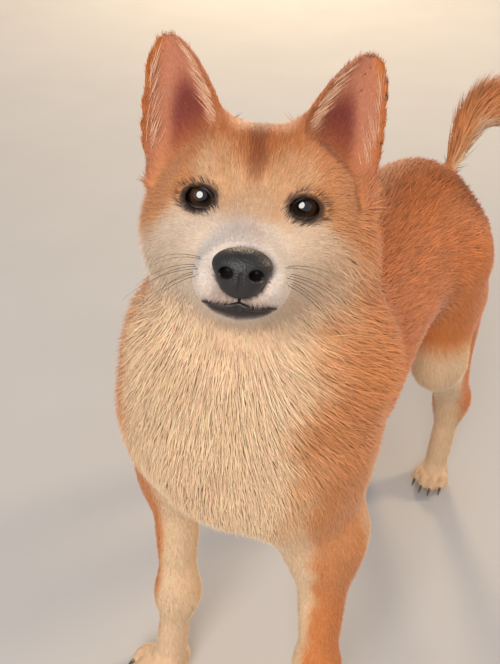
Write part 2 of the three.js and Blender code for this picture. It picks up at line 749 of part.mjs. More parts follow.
export default dog;
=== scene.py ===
"""A young shiba inu that stands with its head raised and turned to its left, and its studio."""
import math

import bpy
import numpy as np
from mathutils import Matrix, Vector


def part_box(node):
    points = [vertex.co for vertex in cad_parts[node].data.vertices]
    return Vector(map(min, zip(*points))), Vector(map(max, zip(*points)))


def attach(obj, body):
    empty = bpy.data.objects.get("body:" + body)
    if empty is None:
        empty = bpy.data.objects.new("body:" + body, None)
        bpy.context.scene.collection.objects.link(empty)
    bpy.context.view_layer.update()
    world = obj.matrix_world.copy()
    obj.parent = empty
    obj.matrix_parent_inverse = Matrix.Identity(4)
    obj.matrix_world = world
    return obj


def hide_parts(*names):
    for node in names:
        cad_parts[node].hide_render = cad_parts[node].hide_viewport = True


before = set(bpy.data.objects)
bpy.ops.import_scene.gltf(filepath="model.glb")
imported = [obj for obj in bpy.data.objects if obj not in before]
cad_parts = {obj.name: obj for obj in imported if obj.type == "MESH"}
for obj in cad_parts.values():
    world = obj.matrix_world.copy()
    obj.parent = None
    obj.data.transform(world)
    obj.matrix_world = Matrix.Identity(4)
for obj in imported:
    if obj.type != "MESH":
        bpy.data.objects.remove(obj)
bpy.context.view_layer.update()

# Driving dimensions, in millimetres and degrees, in the solids' frame before their origin was moved
WITHERS_HEIGHT = 370
CHEST_BOTTOM = 203
CHEST_HALF_WIDTH = 79
CHEST_SWAY = -6
BUTTOCK_Y = 178
STANCE_FRONT = 58
STANCE_HIND = 51
FRONT_PAW = 0.9
HIND_PAW = 0.79
ELBOW_HEIGHT = 205
WRIST_HEIGHT = 88
HOCK_HEIGHT = 104
EYE_SPACING = 56
EYE_RADIUS = 11
NOSE_REACH = 73
EAR_HEIGHT = 60
EAR_BASE = np.array([43, 36, 28])
EAR_HALF_WIDTH = 27.5
EAR_FOOT = 18
EAR_LEAN = 3
EAR_FOLD = math.sin(1.25)
HEAD_PLACE = np.array([2, -158, 450])
HEAD_YAW = 29.4
HEAD_PITCH = 22
HEAD_ROLL = 4
LIP_LEVEL = -44
LIP_CORNER_ANGLE = 54
EYE_OPENING = (8.4, 6.0)
EYE_BARE = (10.2, 7.4)
LID_HALF_WIDTH = 8.2
UPPER_LID = 5.6
LOWER_LID = 4.7
FLOOR_GAP = 0.3

# How far the coat's tips stand off the skin in each region
COAT_DEPTH = dict(trunk=4.6, neck=9.5, head=2.6, front=2.0, hind=3.0, paw=1.2, tail=11.0, ear=0.0)
REGIONS = tuple(COAT_DEPTH)
HEAD = REGIONS.index("head")
EAR = REGIONS.index("ear")
SEED = 11

rng = np.random.default_rng(SEED)


def turn(axis, degrees):
    """A rotation matrix about one axis."""
    c = math.cos(math.radians(degrees))
    s = math.sin(math.radians(degrees))
    if axis == "x":
        return np.array([[1, 0, 0], [0, c, -s], [0, s, c]])
    if axis == "y":
        return np.array([[c, 0, s], [0, 1, 0], [-s, 0, c]])
    return np.array([[c, -s, 0], [s, c, 0], [0, 0, 1]])


HEAD_TURN = turn("z", HEAD_YAW) @ turn("x", -HEAD_PITCH) @ turn("y", HEAD_ROLL)


def to_head(p):
    return (p - HEAD_PLACE) @ HEAD_TURN


def from_head(q):
    return np.asarray(q) @ HEAD_TURN.T + HEAD_PLACE


def unit(v):
    return v / np.maximum(np.linalg.norm(v, axis=-1, keepdims=True), 1e-9)


def smooth(a, b, t):
    """0 below a, 1 above b, and eased between them."""
    u = np.clip((t - a) / (b - a), 0, 1)
    return u * u * (3 - 2 * u)


# Distance fields, each giving millimetres outside a surface for an array of points
def ellipsoid(p, centre, radii, tilt=0):
    """An ellipsoid, tilted about the X axis."""
    c = math.cos(math.radians(tilt))
    s = math.sin(math.radians(tilt))
    q = p - np.array(centre, float)
    q = np.stack([q[:, 0], q[:, 1] * c + q[:, 2] * s, q[:, 2] * c - q[:, 1] * s], 1)
    r = np.array(radii, float)
    near = np.linalg.norm(q / r, axis=1)
    slope = np.maximum(np.linalg.norm(q / r**2, axis=1), 1e-9)
    return near * (near - 1) / slope


def limb(p, a, b, start_radius, end_radius, width=1.0):
    """A tapered limb with round ends, wider along X where width is above 1."""
    scale = np.array([1 / width, 1, 1])
    d = (np.array(b, float) - np.array(a, float)) * scale
    q = (p - np.array(a, float)) * scale
    t = np.clip(q @ d / (d @ d), 0, 1)
    return np.linalg.norm(q - t[:, None] * d, axis=1) - (start_radius + (end_radius - start_radius) * t)


def blend(softness, *fields):
    """Fields joined, with a rounded corner where they meet."""
    d = fields[0]
    for e in fields[1:]:
        h = np.maximum(softness - np.abs(d - e), 0) / softness
        d = np.minimum(d, e) - h * h * softness * 0.25
    return d


def trunk_field(p):
    depth = (WITHERS_HEIGHT - CHEST_BOTTOM) / 2
    return blend(
        40,
        ellipsoid(p, (CHEST_SWAY, -88, CHEST_BOTTOM + depth), (CHEST_HALF_WIDTH, 118, depth)),
        ellipsoid(p, (CHEST_SWAY, -150, 270), (70, 60, 62), -12),
        ellipsoid(p, (-2, 38, 300), (62, 108, 65), 3),
        ellipsoid(p, (0, BUTTOCK_Y - 64, 306), (58, 62, 68)),
    )


def foot_out(side):
    return STANCE_FRONT + 15 if side > 0 else STANCE_FRONT - 2


def front_leg_field(p, side):
    shoulder = (side * 54 + CHEST_SWAY, -152, 262)
    elbow = (side * (STANCE_FRONT + 7) + CHEST_SWAY, -146, ELBOW_HEIGHT)
    wrist = (side * foot_out(side), -172, WRIST_HEIGHT)
    pastern = (side * foot_out(side), -184, 34)
    return blend(
        24,
        ellipsoid(p, shoulder, (33, 46, 74), 10),
        ellipsoid(p, elbow, (25, 30, 34)),
        limb(p, elbow, wrist, 23, 14.5),
        limb(p, wrist, pastern, 14.5, 14),
    )


def hind_leg_field(p, side):
    hip = (side * 36, 114, 284)
    knee = (side * (STANCE_HIND - 1), 94, 203)
    hock = (side * STANCE_HIND, 166, HOCK_HEIGHT)
    pastern = (side * STANCE_HIND, 156, 32)
    return blend(
        24,
        limb(p, hip, knee, 52, 29, 0.74),
        limb(p, (side * 42, 140, 244), hock, 36, 14, 0.8),
        limb(p, knee, hock, 25, 14, 0.9),
        limb(p, hock, pastern, 14.5, 14),
    )


PAWS = [
    ((foot_out(1), -190), 4, FRONT_PAW),
    ((-foot_out(-1) - 3, -190), -22, FRONT_PAW),
    ((STANCE_HIND, 150), 4, HIND_PAW),
    ((-STANCE_HIND, 150), -8, HIND_PAW),
]
TOE_SPACING = 11.6


def toe_place(order, size):
    spread = (order - 1.5) * TOE_SPACING
    return np.array([spread, -25 + abs(spread) * 0.72, 10.5]) * size


def paw_field(p, place, degrees, size):
    q = (p - np.array([place[0], place[1], 0.0])) @ turn("z", degrees)
    toes = [ellipsoid(q, toe_place(i, size), (7.6 * size, 15 * size, 12 * size), -14) for i in range(4)]
    return blend(6, ellipsoid(q, (0, 3 * size, 14 * size), (19 * size, 21 * size, 17 * size)), *toes)


def neck_field(p):
    return blend(
        40,
        limb(p, (-4, -138, 292), (-12, -116, 392), 72, 72),
        ellipsoid(p, (-7, -128, 341), (92, 66, 46)),
        ellipsoid(p, (-7, -165, 330), (66, 46, 66), -20),
    )


def head_field(p):
    q = to_head(p)
    tip = -NOSE_REACH + 22
    parts = [
        ellipsoid(q, (0, 48, -2), (57, 50, 42)),
        ellipsoid(q, (0, 24, 14), (36, 27, 25)),
        *[ellipsoid(q, (s * 32, 38, -20), (31, 40, 34)) for s in (-1, 1)],
        *[ellipsoid(q, (s * 20, 6, -24), (22, 34, 24)) for s in (-1, 1)],
        limb(q, (0, 4, -20), (0, tip, -25), 27, 12, 1.12),
        limb(q, (0, 16, -46), (0, tip + 2, -44), 25, 10.5, 1.25),
        *[ellipsoid(q, (s * 11, tip + 5, -35), (12, 17, 11)) for s in (-1, 1)],
        *[ellipsoid(q, eye_place(s), (14.5, 12.8, 13)) for s in (-1, 1)],
    ]
    return blend(17, *parts)


def nose_pad(q):
    front = -NOSE_REACH
    return blend(
        5,
        ellipsoid(q, (0, front + 10, -25), (14.6, 10.5, 8.6)),
        ellipsoid(q, (0, front + 10, -32), (11, 9.5, 9)),
    )


def eye_place(side):
    return np.array([side * EYE_SPACING / 2, 8, 0])


def to_ear(p, side):
    """Points in an ear's own frame: X outwards, -Y the way it opens, Z up to its tip."""
    q = to_head(p) * np.array([side, 1, 1]) - EAR_BASE
    return q @ turn("y", 14) @ turn("z", 12) @ turn("x", -6)


def from_ear(q, side):
    """The way back from an ear's own frame."""
    p = np.asarray(q) @ turn("x", -6).T @ turn("z", 12).T @ turn("y", 14).T + EAR_BASE
    return from_head(p * np.array([side, 1, 1]))


def ear_rise(q):
    """How far up an ear each point lies, from 0 at its foot to 1 at its tip."""
    return np.clip((q[:, 2] + EAR_FOOT) / (EAR_HEIGHT + EAR_FOOT), 0, 1)


def ear_fold(x, half):
    """The fold's angle at a share of the ear's half width, and how far back its sheet lies there."""
    angle = np.arcsin(np.clip(x * EAR_FOLD, -0.999, 0.999))
    return angle, (np.cos(angle) - 0.3) * half * 0.62


def ear_width(t):
    t = np.clip(t, 0, 0.9999)
    return EAR_HALF_WIDTH * np.sqrt(1 - t**2.6) * (1 - 0.33 * t) + 1.6


def ear_field(p, side):
    q = to_ear(p, side)
    t = ear_rise(q)
    half = ear_width(t) * (0.76 + 0.24 * smooth(0, 0.34, t))
    x = (q[:, 0] - EAR_LEAN * t**2) / half
    wall = 4.5 * (1 - 0.2 * t)
    angle, middle = ear_fold(x, half)
    across = np.abs(q[:, 1] - (middle - wall / 2)) * np.cos(angle * 0.8) - wall / 2
    out = (np.abs(x) - 1) * half
    ends = np.maximum(q[:, 2] - EAR_HEIGHT, -EAR_FOOT - q[:, 2])
    return np.maximum.reduce([across, out, ends])


# The tail's places from its root to its tip, each with its radius
TAIL = np.array([
    (10, 146, 340, 15),
    (13, 162, 368, 16),
    (18, 172, 392, 20),
    (32, 178, 408, 25),
    (56, 184, 407, 26),
    (75, 188, 382, 25),
    (81, 190, 346, 21),
    (79, 189, 312, 13),
    (77, 188, 290, 4),
], float)
TAIL_CURL = np.array([48, 183, 362])


def tail_path(steps=60):
    """Points and radii along the tail, on a curve through its places."""
    out = []
    n = len(TAIL) - 1
    for u in np.linspace(0, n, steps):
        i = min(int(u), n - 1)
        f = u - i
        before = TAIL[max(i - 1, 0)]
        a = TAIL[i]
        b = TAIL[i + 1]
        after = TAIL[min(i + 2, n)]
        out.append(0.5 * (
            2 * a
            + (b - before) * f
            + (2 * before - 5 * a + 4 * b - after) * f**2
            + (3 * a - before - 3 * b + after) * f**3
        ))
    return np.array(out)


TAIL_PATH = tail_path()


def tail_near(p):
    """The nearest place on the tail's path for each point: its index and how far off it is."""
    best = np.full(len(p), 1e9)
    index = np.zeros(len(p), int)
    for i, spot in enumerate(TAIL_PATH):
        d = np.linalg.norm(p - spot[:3], axis=1) - spot[3]
        closer = d < best
        best[closer] = d[closer]
        index[closer] = i
    return index, best


def region_fields(p):
    return dict(
        trunk=trunk_field(p),
        neck=neck_field(p),
        head=head_field(p),
        front=np.minimum(front_leg_field(p, 1), front_leg_field(p, -1)),
        hind=np.minimum(hind_leg_field(p, 1), hind_leg_field(p, -1)),
        paw=np.min([paw_field(p, *paw) for paw in PAWS], axis=0),
        tail=tail_near(p)[1],
        ear=np.minimum(ear_field(p, 1), ear_field(p, -1)),
    )


def region_shares(fields):
    """How much each region counts at each point, adding up to one."""
    stack = np.stack([fields[r] for r in REGIONS], 1)
    shares = np.exp(-(stack - stack.min(1, keepdims=True)) / 7)
    return shares / shares.sum(1, keepdims=True)


def muzzle_thinning(p):
    """The coat is shortest at the nose and grows longer back over the cheeks."""
    q = to_head(p)
    return smooth(-70, 40, q[:, 1])


def coat_depth(p, fields):
    shares = region_shares(fields)
    depth = shares @ np.array(list(COAT_DEPTH.values()))
    head = shares[:, HEAD]
    return depth - head * COAT_DEPTH["head"] * 0.75 * (1 - muzzle_thinning(p))


def skin_field(p):
    f = region_fields(p)
    body = blend(24, f["trunk"], f["front"], f["hind"])
    body = blend(30, body, f["neck"], f["head"])
    body = blend(14, body, f["paw"])
    body = blend(14, body, f["tail"])
    d = body + coat_depth(p, f)
    d = blend(13, d, f["ear"])
    q = to_head(p)
    pad = nose_pad(q)
    d = d + 3.4 * smooth(5, 0, pad)
    d = np.maximum(d, -pad - 2.5)
    for side in (-1, 1):
        e = q - eye_place(side)
        ball = np.linalg.norm(e, axis=1) - EYE_RADIUS - 0.3
        opening = np.hypot(e[:, 0] / EYE_OPENING[0], e[:, 2] / EYE_OPENING[1]) - 1
        opening = np.maximum(opening * 6, e[:, 1] + 2)
        d = np.maximum.reduce([d, -ball, -opening])
    return d


def spacing(low, high, coarse, fine, fine_low, fine_high):
    """Grid lines along one axis, closer together between two places."""
    lines = [low]
    while lines[-1] < high:
        step = fine if fine_low <= lines[-1] < fine_high else coarse
        lines.append(lines[-1] + step)
    return np.array(lines)


# The grid is looked at in blocks, and worked out in full only near the surface
BLOCK = 6
BATCH = 200000
FAR = 50


def block_slices(place):
    """The grid points of one block."""
    return tuple(slice(i * BLOCK, i * BLOCK + BLOCK) for i in place)


def grid_points(lines, ijk):
    """Where grid points stand, from their numbers along the three axes."""
    return np.stack([lines[n][ijk[:, n]] for n in range(3)], 1)


def skin_mesh():
    """The skin's surface on a grid, one vertex in each cell that it passes through."""
    rough = 2.7
    fine = 1.7
    xs = spacing(-125, 125, rough * 0.85, rough * 0.85, 0, 0)
    ys = spacing(-250, 235, rough, fine, -240, -95)
    zs = spacing(-12, 540, rough, fine, 372, 540)
    lines = (xs, ys, zs)
    counts = [len(a) for a in lines]
    value = np.full(counts, FAR, np.float32)
    centres = [a[BLOCK // 2 :: BLOCK] for a in lines]
    mids = np.stack(np.meshgrid(*centres, indexing="ij"), -1).reshape(-1, 3)
    near = skin_field(mids).reshape([len(c) for c in centres])
    reach = rough * BLOCK * 0.95
    for place in np.argwhere(near < -reach):
        value[block_slices(place)] = -FAR
    active = np.zeros(counts, bool)
    for place in np.argwhere(np.abs(near) <= reach):
        active[block_slices(place)] = True
    # points past the last block that has a middle are all worked out
    covered = [len(c) * BLOCK for c in centres]
    active[covered[0] :] = True
    active[:, covered[1] :] = True
    active[:, :, covered[2] :] = True
    points = grid_points(lines, np.argwhere(active))
    found = np.empty(len(points), np.float32)
    for start in range(0, len(points), BATCH):
        found[start : start + BATCH] = skin_field(points[start : start + BATCH])
    value[active] = found
    value[0] = value[-1] = FAR
    value[:, 0] = value[:, -1] = FAR
    value[:, :, 0] = value[:, :, -1] = FAR
    return nets(value, lines, skin_field, 2)


def nets(value, lines, field, settle):
    """A vertex in each cell that the surface crosses, moved onto it, and a face for each crossed edge."""
    inside = value < 0
    corners = [
        inside[a : a - 1 or None, b : b - 1 or None, c : c - 1 or None]
        for a, b, c in np.ndindex(2, 2, 2)
    ]
    total = np.sum(corners, axis=0)
    cells = np.argwhere((total > 0) & (total < 8))
    number = np.full(total.shape, -1, np.int64)
    number[tuple(cells.T)] = np.arange(len(cells))
    place = np.zeros((len(cells), 3))
    hits = np.zeros(len(cells))
    for a in np.ndindex(2, 2, 2):
        for axis in range(3):
            if a[axis]:
                continue
            b = list(a)
            b[axis] = 1
            ia = cells + np.array(a)
            ib = cells + np.array(b)
            va = value[tuple(ia.T)]
            vb = value[tuple(ib.T)]
            cross = (va < 0) != (vb < 0)
            t = np.where(cross, va / np.where(cross, va - vb, 1), 0)[:, None]
            pa = grid_points(lines, ia)
            pb = grid_points(lines, ib)
            place += np.where(cross[:, None], pa + (pb - pa) * t, 0)
            hits += cross
    place /= hits[:, None]
    low = grid_points(lines, cells)
    high = grid_points(lines, cells + 1)
    for _ in range(settle):
        d = field(place)
        place -= np.clip(d, -1, 1)[:, None] * slope_of(field, place, d)
        place = np.clip(place, low, high)
    faces = []
    for axis in range(3):
        other = [(axis + 1) % 3, (axis + 2) % 3]
        first = [slice(None)] * 3
        second = [slice(None)] * 3
        first[axis] = slice(0, -1)
        second[axis] = slice(1, None)
        change = inside[tuple(first)] != inside[tuple(second)]
        at = np.argwhere(change)
        at = at[(at[:, other[0]] > 0) & (at[:, other[1]] > 0)]
        quad = []
        for s, t in ((0, 0), (1, 0), (1, 1), (0, 1)):
            c = at.copy()
            c[:, other[0]] -= s
            c[:, other[1]] -= t
            quad.append(number[tuple(c.T)])
        quad = np.stack(quad, 1)
        starts_in = inside[tuple(at.T)]
        quad[~starts_in] = quad[~starts_in][:, ::-1]
        faces.append(quad)
    return place, np.concatenate(faces)


def slope_of(field, p, d, step=0.4):
    """The way out of a surface at each point, where the field is d."""
    g = np.stack([field(p + np.eye(3)[n] * step) - d for n in range(3)], 1)
    return unit(g)


# Markings: red coat over a cream underside, with painted shade in the ears' hollows, as sRGB colours
RED = np.array([0.85, 0.51, 0.28])
TAN = np.array([0.88, 0.59, 0.38])
DEEP_RED = np.array([0.73, 0.40, 0.20])
CREAM = np.array([0.96, 0.80, 0.64])
WHITE = np.array([0.96, 0.88, 0.82])
LIP_DARK = np.array([0.16, 0.13, 0.13])
EAR_PINK = np.array([0.80, 0.52, 0.40])
# the darker colour deep in each ear is painted shade in the ear's hollow
EAR_HOLLOW_SHADE = np.array([0.50, 0.23, 0.20])
EAR_HAIR = np.array([0.90, 0.70, 0.56])
STREAK = np.array([0.52, 0.27, 0.15])
BRIDGE_GREY = np.array([0.66, 0.62, 0.62])
SPECKLE = np.array([0.45, 0.34, 0.30])
WAVES = 6
WAVE_TURN = 6.283


def ripple(p, scale, seed):
    """Soft noise between -1 and 1 from a few waves, so that markings have uneven edges."""
    local = np.random.default_rng(seed)
    out = np.zeros(len(p))
    for _ in range(WAVES):
        way = unit(local.normal(size=3)) / scale * local.uniform(0.6, 1.8)
        out += np.sin(p @ way * WAVE_TURN + local.uniform(0, WAVE_TURN))
    return out / WAVES


def mixed(a, b, share):
    """One colour for each point, from a where the share is 0 to b where it is 1."""
    return a + (b - a) * share[:, None]


def head_colour(p):
    """The head's markings in its own frame."""
    q = to_head(p)
    x = np.abs(q[:, 0])
    y = q[:, 1]
    z = q[:, 2]
    uneven = ripple(p, 22, 3) * 4 + ripple(p, 8, 4) * 2
    red = mixed(TAN, RED, smooth(10, 44, z) * 0.8)
    # cream from the muzzle over the cheeks, up between the eyes and over each brow
    cheek = smooth(6, -12, z + uneven + smooth(34, 60, x) * 18 + smooth(25, 70, y) * 14)
    bridge = smooth(22, 8, x + uneven * 0.5) * smooth(30, 8, z + uneven)
    brow = smooth(19, 7, np.hypot(x - 19, (z - 15) * 0.95) + uneven * 0.6)
    socket = smooth(20, 10, np.hypot((x - 24) * 0.9, z) + uneven * 0.4) * smooth(34, 26, x)
    pale = np.clip(np.maximum.reduce([cheek, bridge * 0.8, brow * 0.8, socket * 0.7]), 0, 1)
    muzzle = smooth(-18, -38, y)
    light = mixed(CREAM, WHITE, np.maximum(muzzle, cheek * 0.6))
    colour = mixed(red, light, pale)
    # the darker streak up the middle of the brow
    fan = smooth(24, 6, x + ripple(p, 10, 5) * 3) * smooth(8, 26, z) * smooth(60, 36, z)
    streak = smooth(7, 2, x + ripple(p, 10, 5) * 2) * smooth(2, 20, z) * smooth(60, 34, z)
    colour = mixed(mixed(colour, DEEP_RED, fan * 0.5), STREAK, streak * 0.7)
    # the bridge of the nose is a little grey, the chin is dark, and speckles lie above the lips
    grey = smooth(11, 4, x) * smooth(-30, -45, y) * smooth(-22, -14, z)
    colour = mixed(colour, BRIDGE_GREY, grey * 0.25)
    below = LIP_LEVEL - z
    middle = smooth(21, 13, x + ripple(p, 5, 16) * 2)
    chin = smooth(-1.5, 0.5, below) * smooth(11.5 - x * 0.25, 5 - x * 0.12, below) * middle
    above = smooth(12, 1, -below) * smooth(1.5, -0.5, below) * smooth(20, 10, x)
    above = above * (0.55 + ripple(p, 3.2, 6) * 0.5)
    front = smooth(-30, -42, y)
    colour = mixed(colour, SPECKLE, np.clip(above, 0, 1) * front * 0.75)
    colour = mixed(colour, LIP_DARK, chin * front * 0.9)
    # dark skin round the nose pad and the lids
    colour = mixed(colour, LIP_DARK, smooth(1.6, 0.2, nose_pad(q)) * 0.8)
    rim = smooth(10.6, 8.2, np.hypot((x - EYE_SPACING / 2) / 1.22, z * 1.12))
    return mixed(colour, LIP_DARK, rim * 0.92 * smooth(22, 10, y))


def trunk_colour(p):
    x = np.abs(p[:, 0])
    y = p[:, 1]
    z = p[:, 2]
    uneven = ripple(p, 55, 7) * 9 + ripple(p, 17, 8) * 4
    red = mixed(RED, DEEP_RED, smooth(290, 350, z + uneven) * 0.5)
    red = mixed(red, TAN, smooth(-70, -130, y) * 0.8)
    chest = smooth(66, 44, np.abs(p[:, 0] - CHEST_SWAY) + uneven) * smooth(-118, -150, y)
    chest = chest * smooth(450, 400, z)
    belly = smooth(222, 204, z + uneven * 0.6 + x * 0.14)
    rear = smooth(152, 170, y + uneven) * smooth(40, 22, x) * smooth(330, 300, z)
    pale = np.clip(np.maximum.reduce([chest, belly, rear * 0.8]), 0, 1)
    shade = ripple(p, 30, 9) * 0.12
    return mixed(red, CREAM, pale) * (1 + shade[:, None] * 0.5)


def front_colour(p):
    inward = foot_out(1) - 4 - np.abs(p[:, 0])
    uneven = ripple(p, 20, 10) * 4
    red = mixed(TAN, RED, smooth(240, 150, p[:, 2]) * 0.8)
    pale = np.maximum(smooth(-2, 8, inward + uneven), smooth(62, 36, p[:, 2] + uneven * 2))
    pale = np.maximum(pale, smooth(-150, -138, p[:, 1] + uneven) * 0.6)
    return mixed(red, CREAM, pale)


def hind_colour(p):
    uneven = ripple(p, 22, 12) * 5
    inward = STANCE_HIND - 8 - np.abs(p[:, 0])
    ahead = 116 - p[:, 1] + (205 - p[:, 2]) * 0.42
    inner = smooth(0, 14, inward + uneven)
    stifle = smooth(-4, 16, ahead + uneven) * smooth(242, 216, p[:, 2])
    sock = smooth(84, 58, p[:, 2] + uneven)
    return mixed(RED, CREAM, np.maximum.reduce([inner, stifle, sock]))


def tail_colour(p):
    index, _ = tail_near(p)
    middle = TAIL_PATH[index, :3]
    out = middle - TAIL_CURL
    under = np.einsum("ij,ij->i", unit(p - middle), unit(out))
    late = index / len(TAIL_PATH)
    # the cream underside is the coat's own; the tail's last stretch is painted cream too, a painted glow of
    # light shining through it
    pale = np.maximum(smooth(0.1, -0.45, under + ripple(p, 16, 13) * 0.3), smooth(0.84, 0.95, late))
    red = mixed(TAN, RED, smooth(0.2, 0.9, under) * 0.6)
    return mixed(red, CREAM, pale)


def ear_colour(p):
    colour = RED
    for side in (-1, 1):
        near = ear_field(p, side) < 8
        q = to_ear(p, side)
        t = ear_rise(q)
        half = ear_width(t)
        x = q[:, 0] / half
        middle = ear_fold(x, half)[1]
        front = smooth(0.5, -1.5, q[:, 1] - middle + 2.2) * smooth(1.0, 0.82, np.abs(x)) * near
        # the middle of each ear's hollow is painted darker: painted shade over the ear's own pink
        hollow_shade = smooth(0.66, 0.3, np.hypot((t - 0.3) * 1.3, x + 0.1))
        colour = mixed(colour, mixed(EAR_PINK, EAR_HOLLOW_SHADE, hollow_shade), front)
        rim = smooth(0.8, 1.0, np.abs(x)) * near
        colour = mixed(colour, DEEP_RED, rim * 0.4)
    return colour


def coat_colour(p, shares=None):
    """The markings at each point, with painted shade in the ears' hollows and a painted glow at the tail's
    tip, in sRGB.
    """
    if shares is None:
        shares = region_shares(region_fields(p))
    trunk = trunk_colour(p)
    by_region = dict(
        trunk=trunk,
        neck=trunk,
        head=head_colour(p),
        front=front_colour(p),
        hind=hind_colour(p),
        paw=CREAM * (1 + ripple(p, 14, 14)[:, None] * 0.03),
        tail=tail_colour(p),
        ear=ear_colour(p),
    )
    out = sum(by_region[r] * shares[:, n : n + 1] for n, r in enumerate(REGIONS))
    return np.clip(out, 0, 1)


def linear(srgb):
    srgb = np.clip(srgb, 0, 1)
    return np.where(srgb <= 0.04045, srgb / 12.92, ((srgb + 0.055) / 1.055) ** 2.4)


# The way the coat lies
def lie(p, normals, shares):
    """A direction along the surface for each point, from nose to tail and down the legs."""
    q = to_head(p)
    away = unit(q - np.array([0, -66, -22]))
    away[:, 2] -= smooth(20, 60, np.abs(q[:, 0])) * 0.5
    head = unit(away) @ HEAD_TURN.T
    side = np.sign(p[:, 0] + 8)
    spread = smooth(20, 80, np.abs(p[:, 0] + 8))
    neck = np.stack([side * 0.35 * spread, 0.35 + 0.4 * spread, -0.9 + 0.2 * spread], 1)
    low = smooth(330, 230, p[:, 2])
    trunk = np.stack([np.zeros(len(p)), 1.0 - 0.3 * low, -0.15 - 0.5 * low], 1)
    breast = smooth(-150, -185, p[:, 1])[:, None]
    trunk = trunk * (1 - breast) + np.array([0, 0.15, -1.0]) * breast
    leg = np.array([0, 0.12, -1.0])
    thigh = np.array([0, 0.45, -0.9])
    paw = np.array([0, -0.9, -0.4])
    index, _ = tail_near(p)
    ahead = np.minimum(index + 1, len(TAIL_PATH) - 1)
    behind = np.maximum(index - 1, 0)
    tail = unit(TAIL_PATH[ahead, :3] - TAIL_PATH[behind, :3])
    right_ear, left_ear = (unit(from_ear([0, 0, 1], s) - from_ear([0, 0, 0], s)) for s in (-1, 1))
    ear = np.where((q[:, 0] > 0)[:, None], left_ear, right_ear)
    ways = dict(trunk=trunk, neck=neck, head=head, front=leg, hind=thigh, paw=paw, tail=tail, ear=ear)
    out = sum(unit(ways[r]) * shares[:, n : n + 1] for n, r in enumerate(REGIONS))
    out = out - normals * np.einsum("ij,ij->i", out, normals)[:, None]
    return unit(out)


# Each region's tufts: length, width, lift in degrees, and how many to a square centimetre
TUFTS = dict(
    trunk=(17, 0.85, 10, 31),
    neck=(25, 0.74, 12, 56),
    head=(8.0, 0.5, 12, 125),
    front=(8, 0.65, 11, 58),
    hind=(9, 0.7, 11, 52),
    paw=(5, 0.5, 12, 80),
    tail=(27, 0.9, 13, 50),
    ear=(4.5, 0.4, 12, 130),
)
SHORT = ("head", "front", "hind", "paw", "ear")


def mesh_object(name, points, faces, material):
    """A mesh object in the row frame from points in model millimetres."""
    mesh = bpy.data.meshes.new(name)
    faces = np.asarray(faces)
    mesh.vertices.add(len(points))
    mesh.vertices.foreach_set("co", ((points + SHIFT) / 1000).astype(np.float32).ravel())
    mesh.loops.add(faces.size)
    mesh.loops.foreach_set("vertex_index", faces.astype(np.int32).ravel())
    mesh.polygons.add(len(faces))
    mesh.polygons.foreach_set("loop_start", np.arange(0, faces.size, faces.shape[1], dtype=np.int32))
    mesh.update(calc_edges=True)
    mesh.validate()
    mesh.materials.append(material)
    mesh.polygons.foreach_set("use_smooth", np.ones(len(mesh.polygons), bool))
    obj = bpy.data.objects.new(name, mesh)
    bpy.context.collection.objects.link(obj)
    return obj


def paint(obj, colours):
    """Gives each vertex its colour."""
    layer = obj.data.color_attributes.new("markings", "FLOAT_COLOR", "POINT")
    rgba = np.ones((len(colours), 4), np.float32)
    rgba[:, :3] = linear(colours)
    layer.data.foreach_set("color", rgba.ravel())


def corner_vertices(obj):
    """The vertex of each face corner."""
    loops = np.empty(len(obj.data.loops), np.int32)
    obj.data.loops.foreach_get("vertex_index", loops)
    return loops


def set_unwrap(obj, uv):
    """Gives each face corner its place on the unwrap."""
    layer = obj.data.uv_layers.new(name="OFBake")
    layer.data.foreach_set("uv", np.clip(uv, 0, 1).astype(np.float32).ravel())


def flattened(p, axis):
    """Points as seen along their charts' axes."""
    return np.stack([np.where(axis == 0, p[:, 1], p[:, 0]), np.where(axis == 2, p[:, 1], p[:, 2])], 1)


def unwrap_place(p, normals, shares):
    """Where a point of the skin lies on the unwrap: a chart for each region and way it faces."""
    region = shares.argmax(1)
    side = (p[:, 0] > 0).astype(int)
    ear_or_leg = np.isin(region, [REGIONS.index(r) for r in ("front", "hind", "paw", "ear")])
    group = region + 8 * (side * ear_or_leg)
    axis = np.abs(normals).argmax(1)
    sign = (normals[np.arange(len(p)), axis] > 0).astype(int)
    chart = group * 6 + axis * 2 + sign
    return chart, flattened(p, axis)


CHART_ORIGIN = {}
CHART_MARGIN = 6


def lay_out_charts(p, normals, shares):
    """Packs the charts in rows, tallest first, and keeps each one's place."""
    chart, flat = unwrap_place(p, normals, shares)
    sizes = []
    for c in np.unique(chart):
        part = flat[chart == c]
        sizes.append((c, part.min(0), part.max(0) - part.min(0)))
    sizes.sort(key=lambda s: -s[2][1])
    gap = 2 * CHART_MARGIN
    width = math.sqrt(sum((s[2][0] + gap) * (s[2][1] + gap) for s in sizes)) * 1.12
    x = 0.0
    y = 0.0
    row = 0.0
    for c, low, size in sizes:
        if x + size[0] + gap > width and x > 0:
            x = 0.0
            y += row + gap
            row = 0.0
        CHART_ORIGIN[c] = (np.array([x + CHART_MARGIN, y + CHART_MARGIN]), low)
        x += size[0] + gap
        row = max(row, size[1])
    return max(width, y + row + gap) * 1.002


def unwrap(p, normals, shares, extent):
    """Each point's place on the unwrap, or its middle where no chart of the skin holds the point."""
    chart, flat = unwrap_place(p, normals, shares)
    known = np.array([c in CHART_ORIGIN for c in chart])
    origin = np.zeros((len(p), 2))
    low = np.zeros((len(p), 2))
    for c, (o, l) in CHART_ORIGIN.items():
        here = chart == c
        origin[here] = o
        low[here] = l
    uv = (flat - low + origin) / extent
    uv[~known] = 0.5
    return np.clip(uv, 0.001, 0.999)


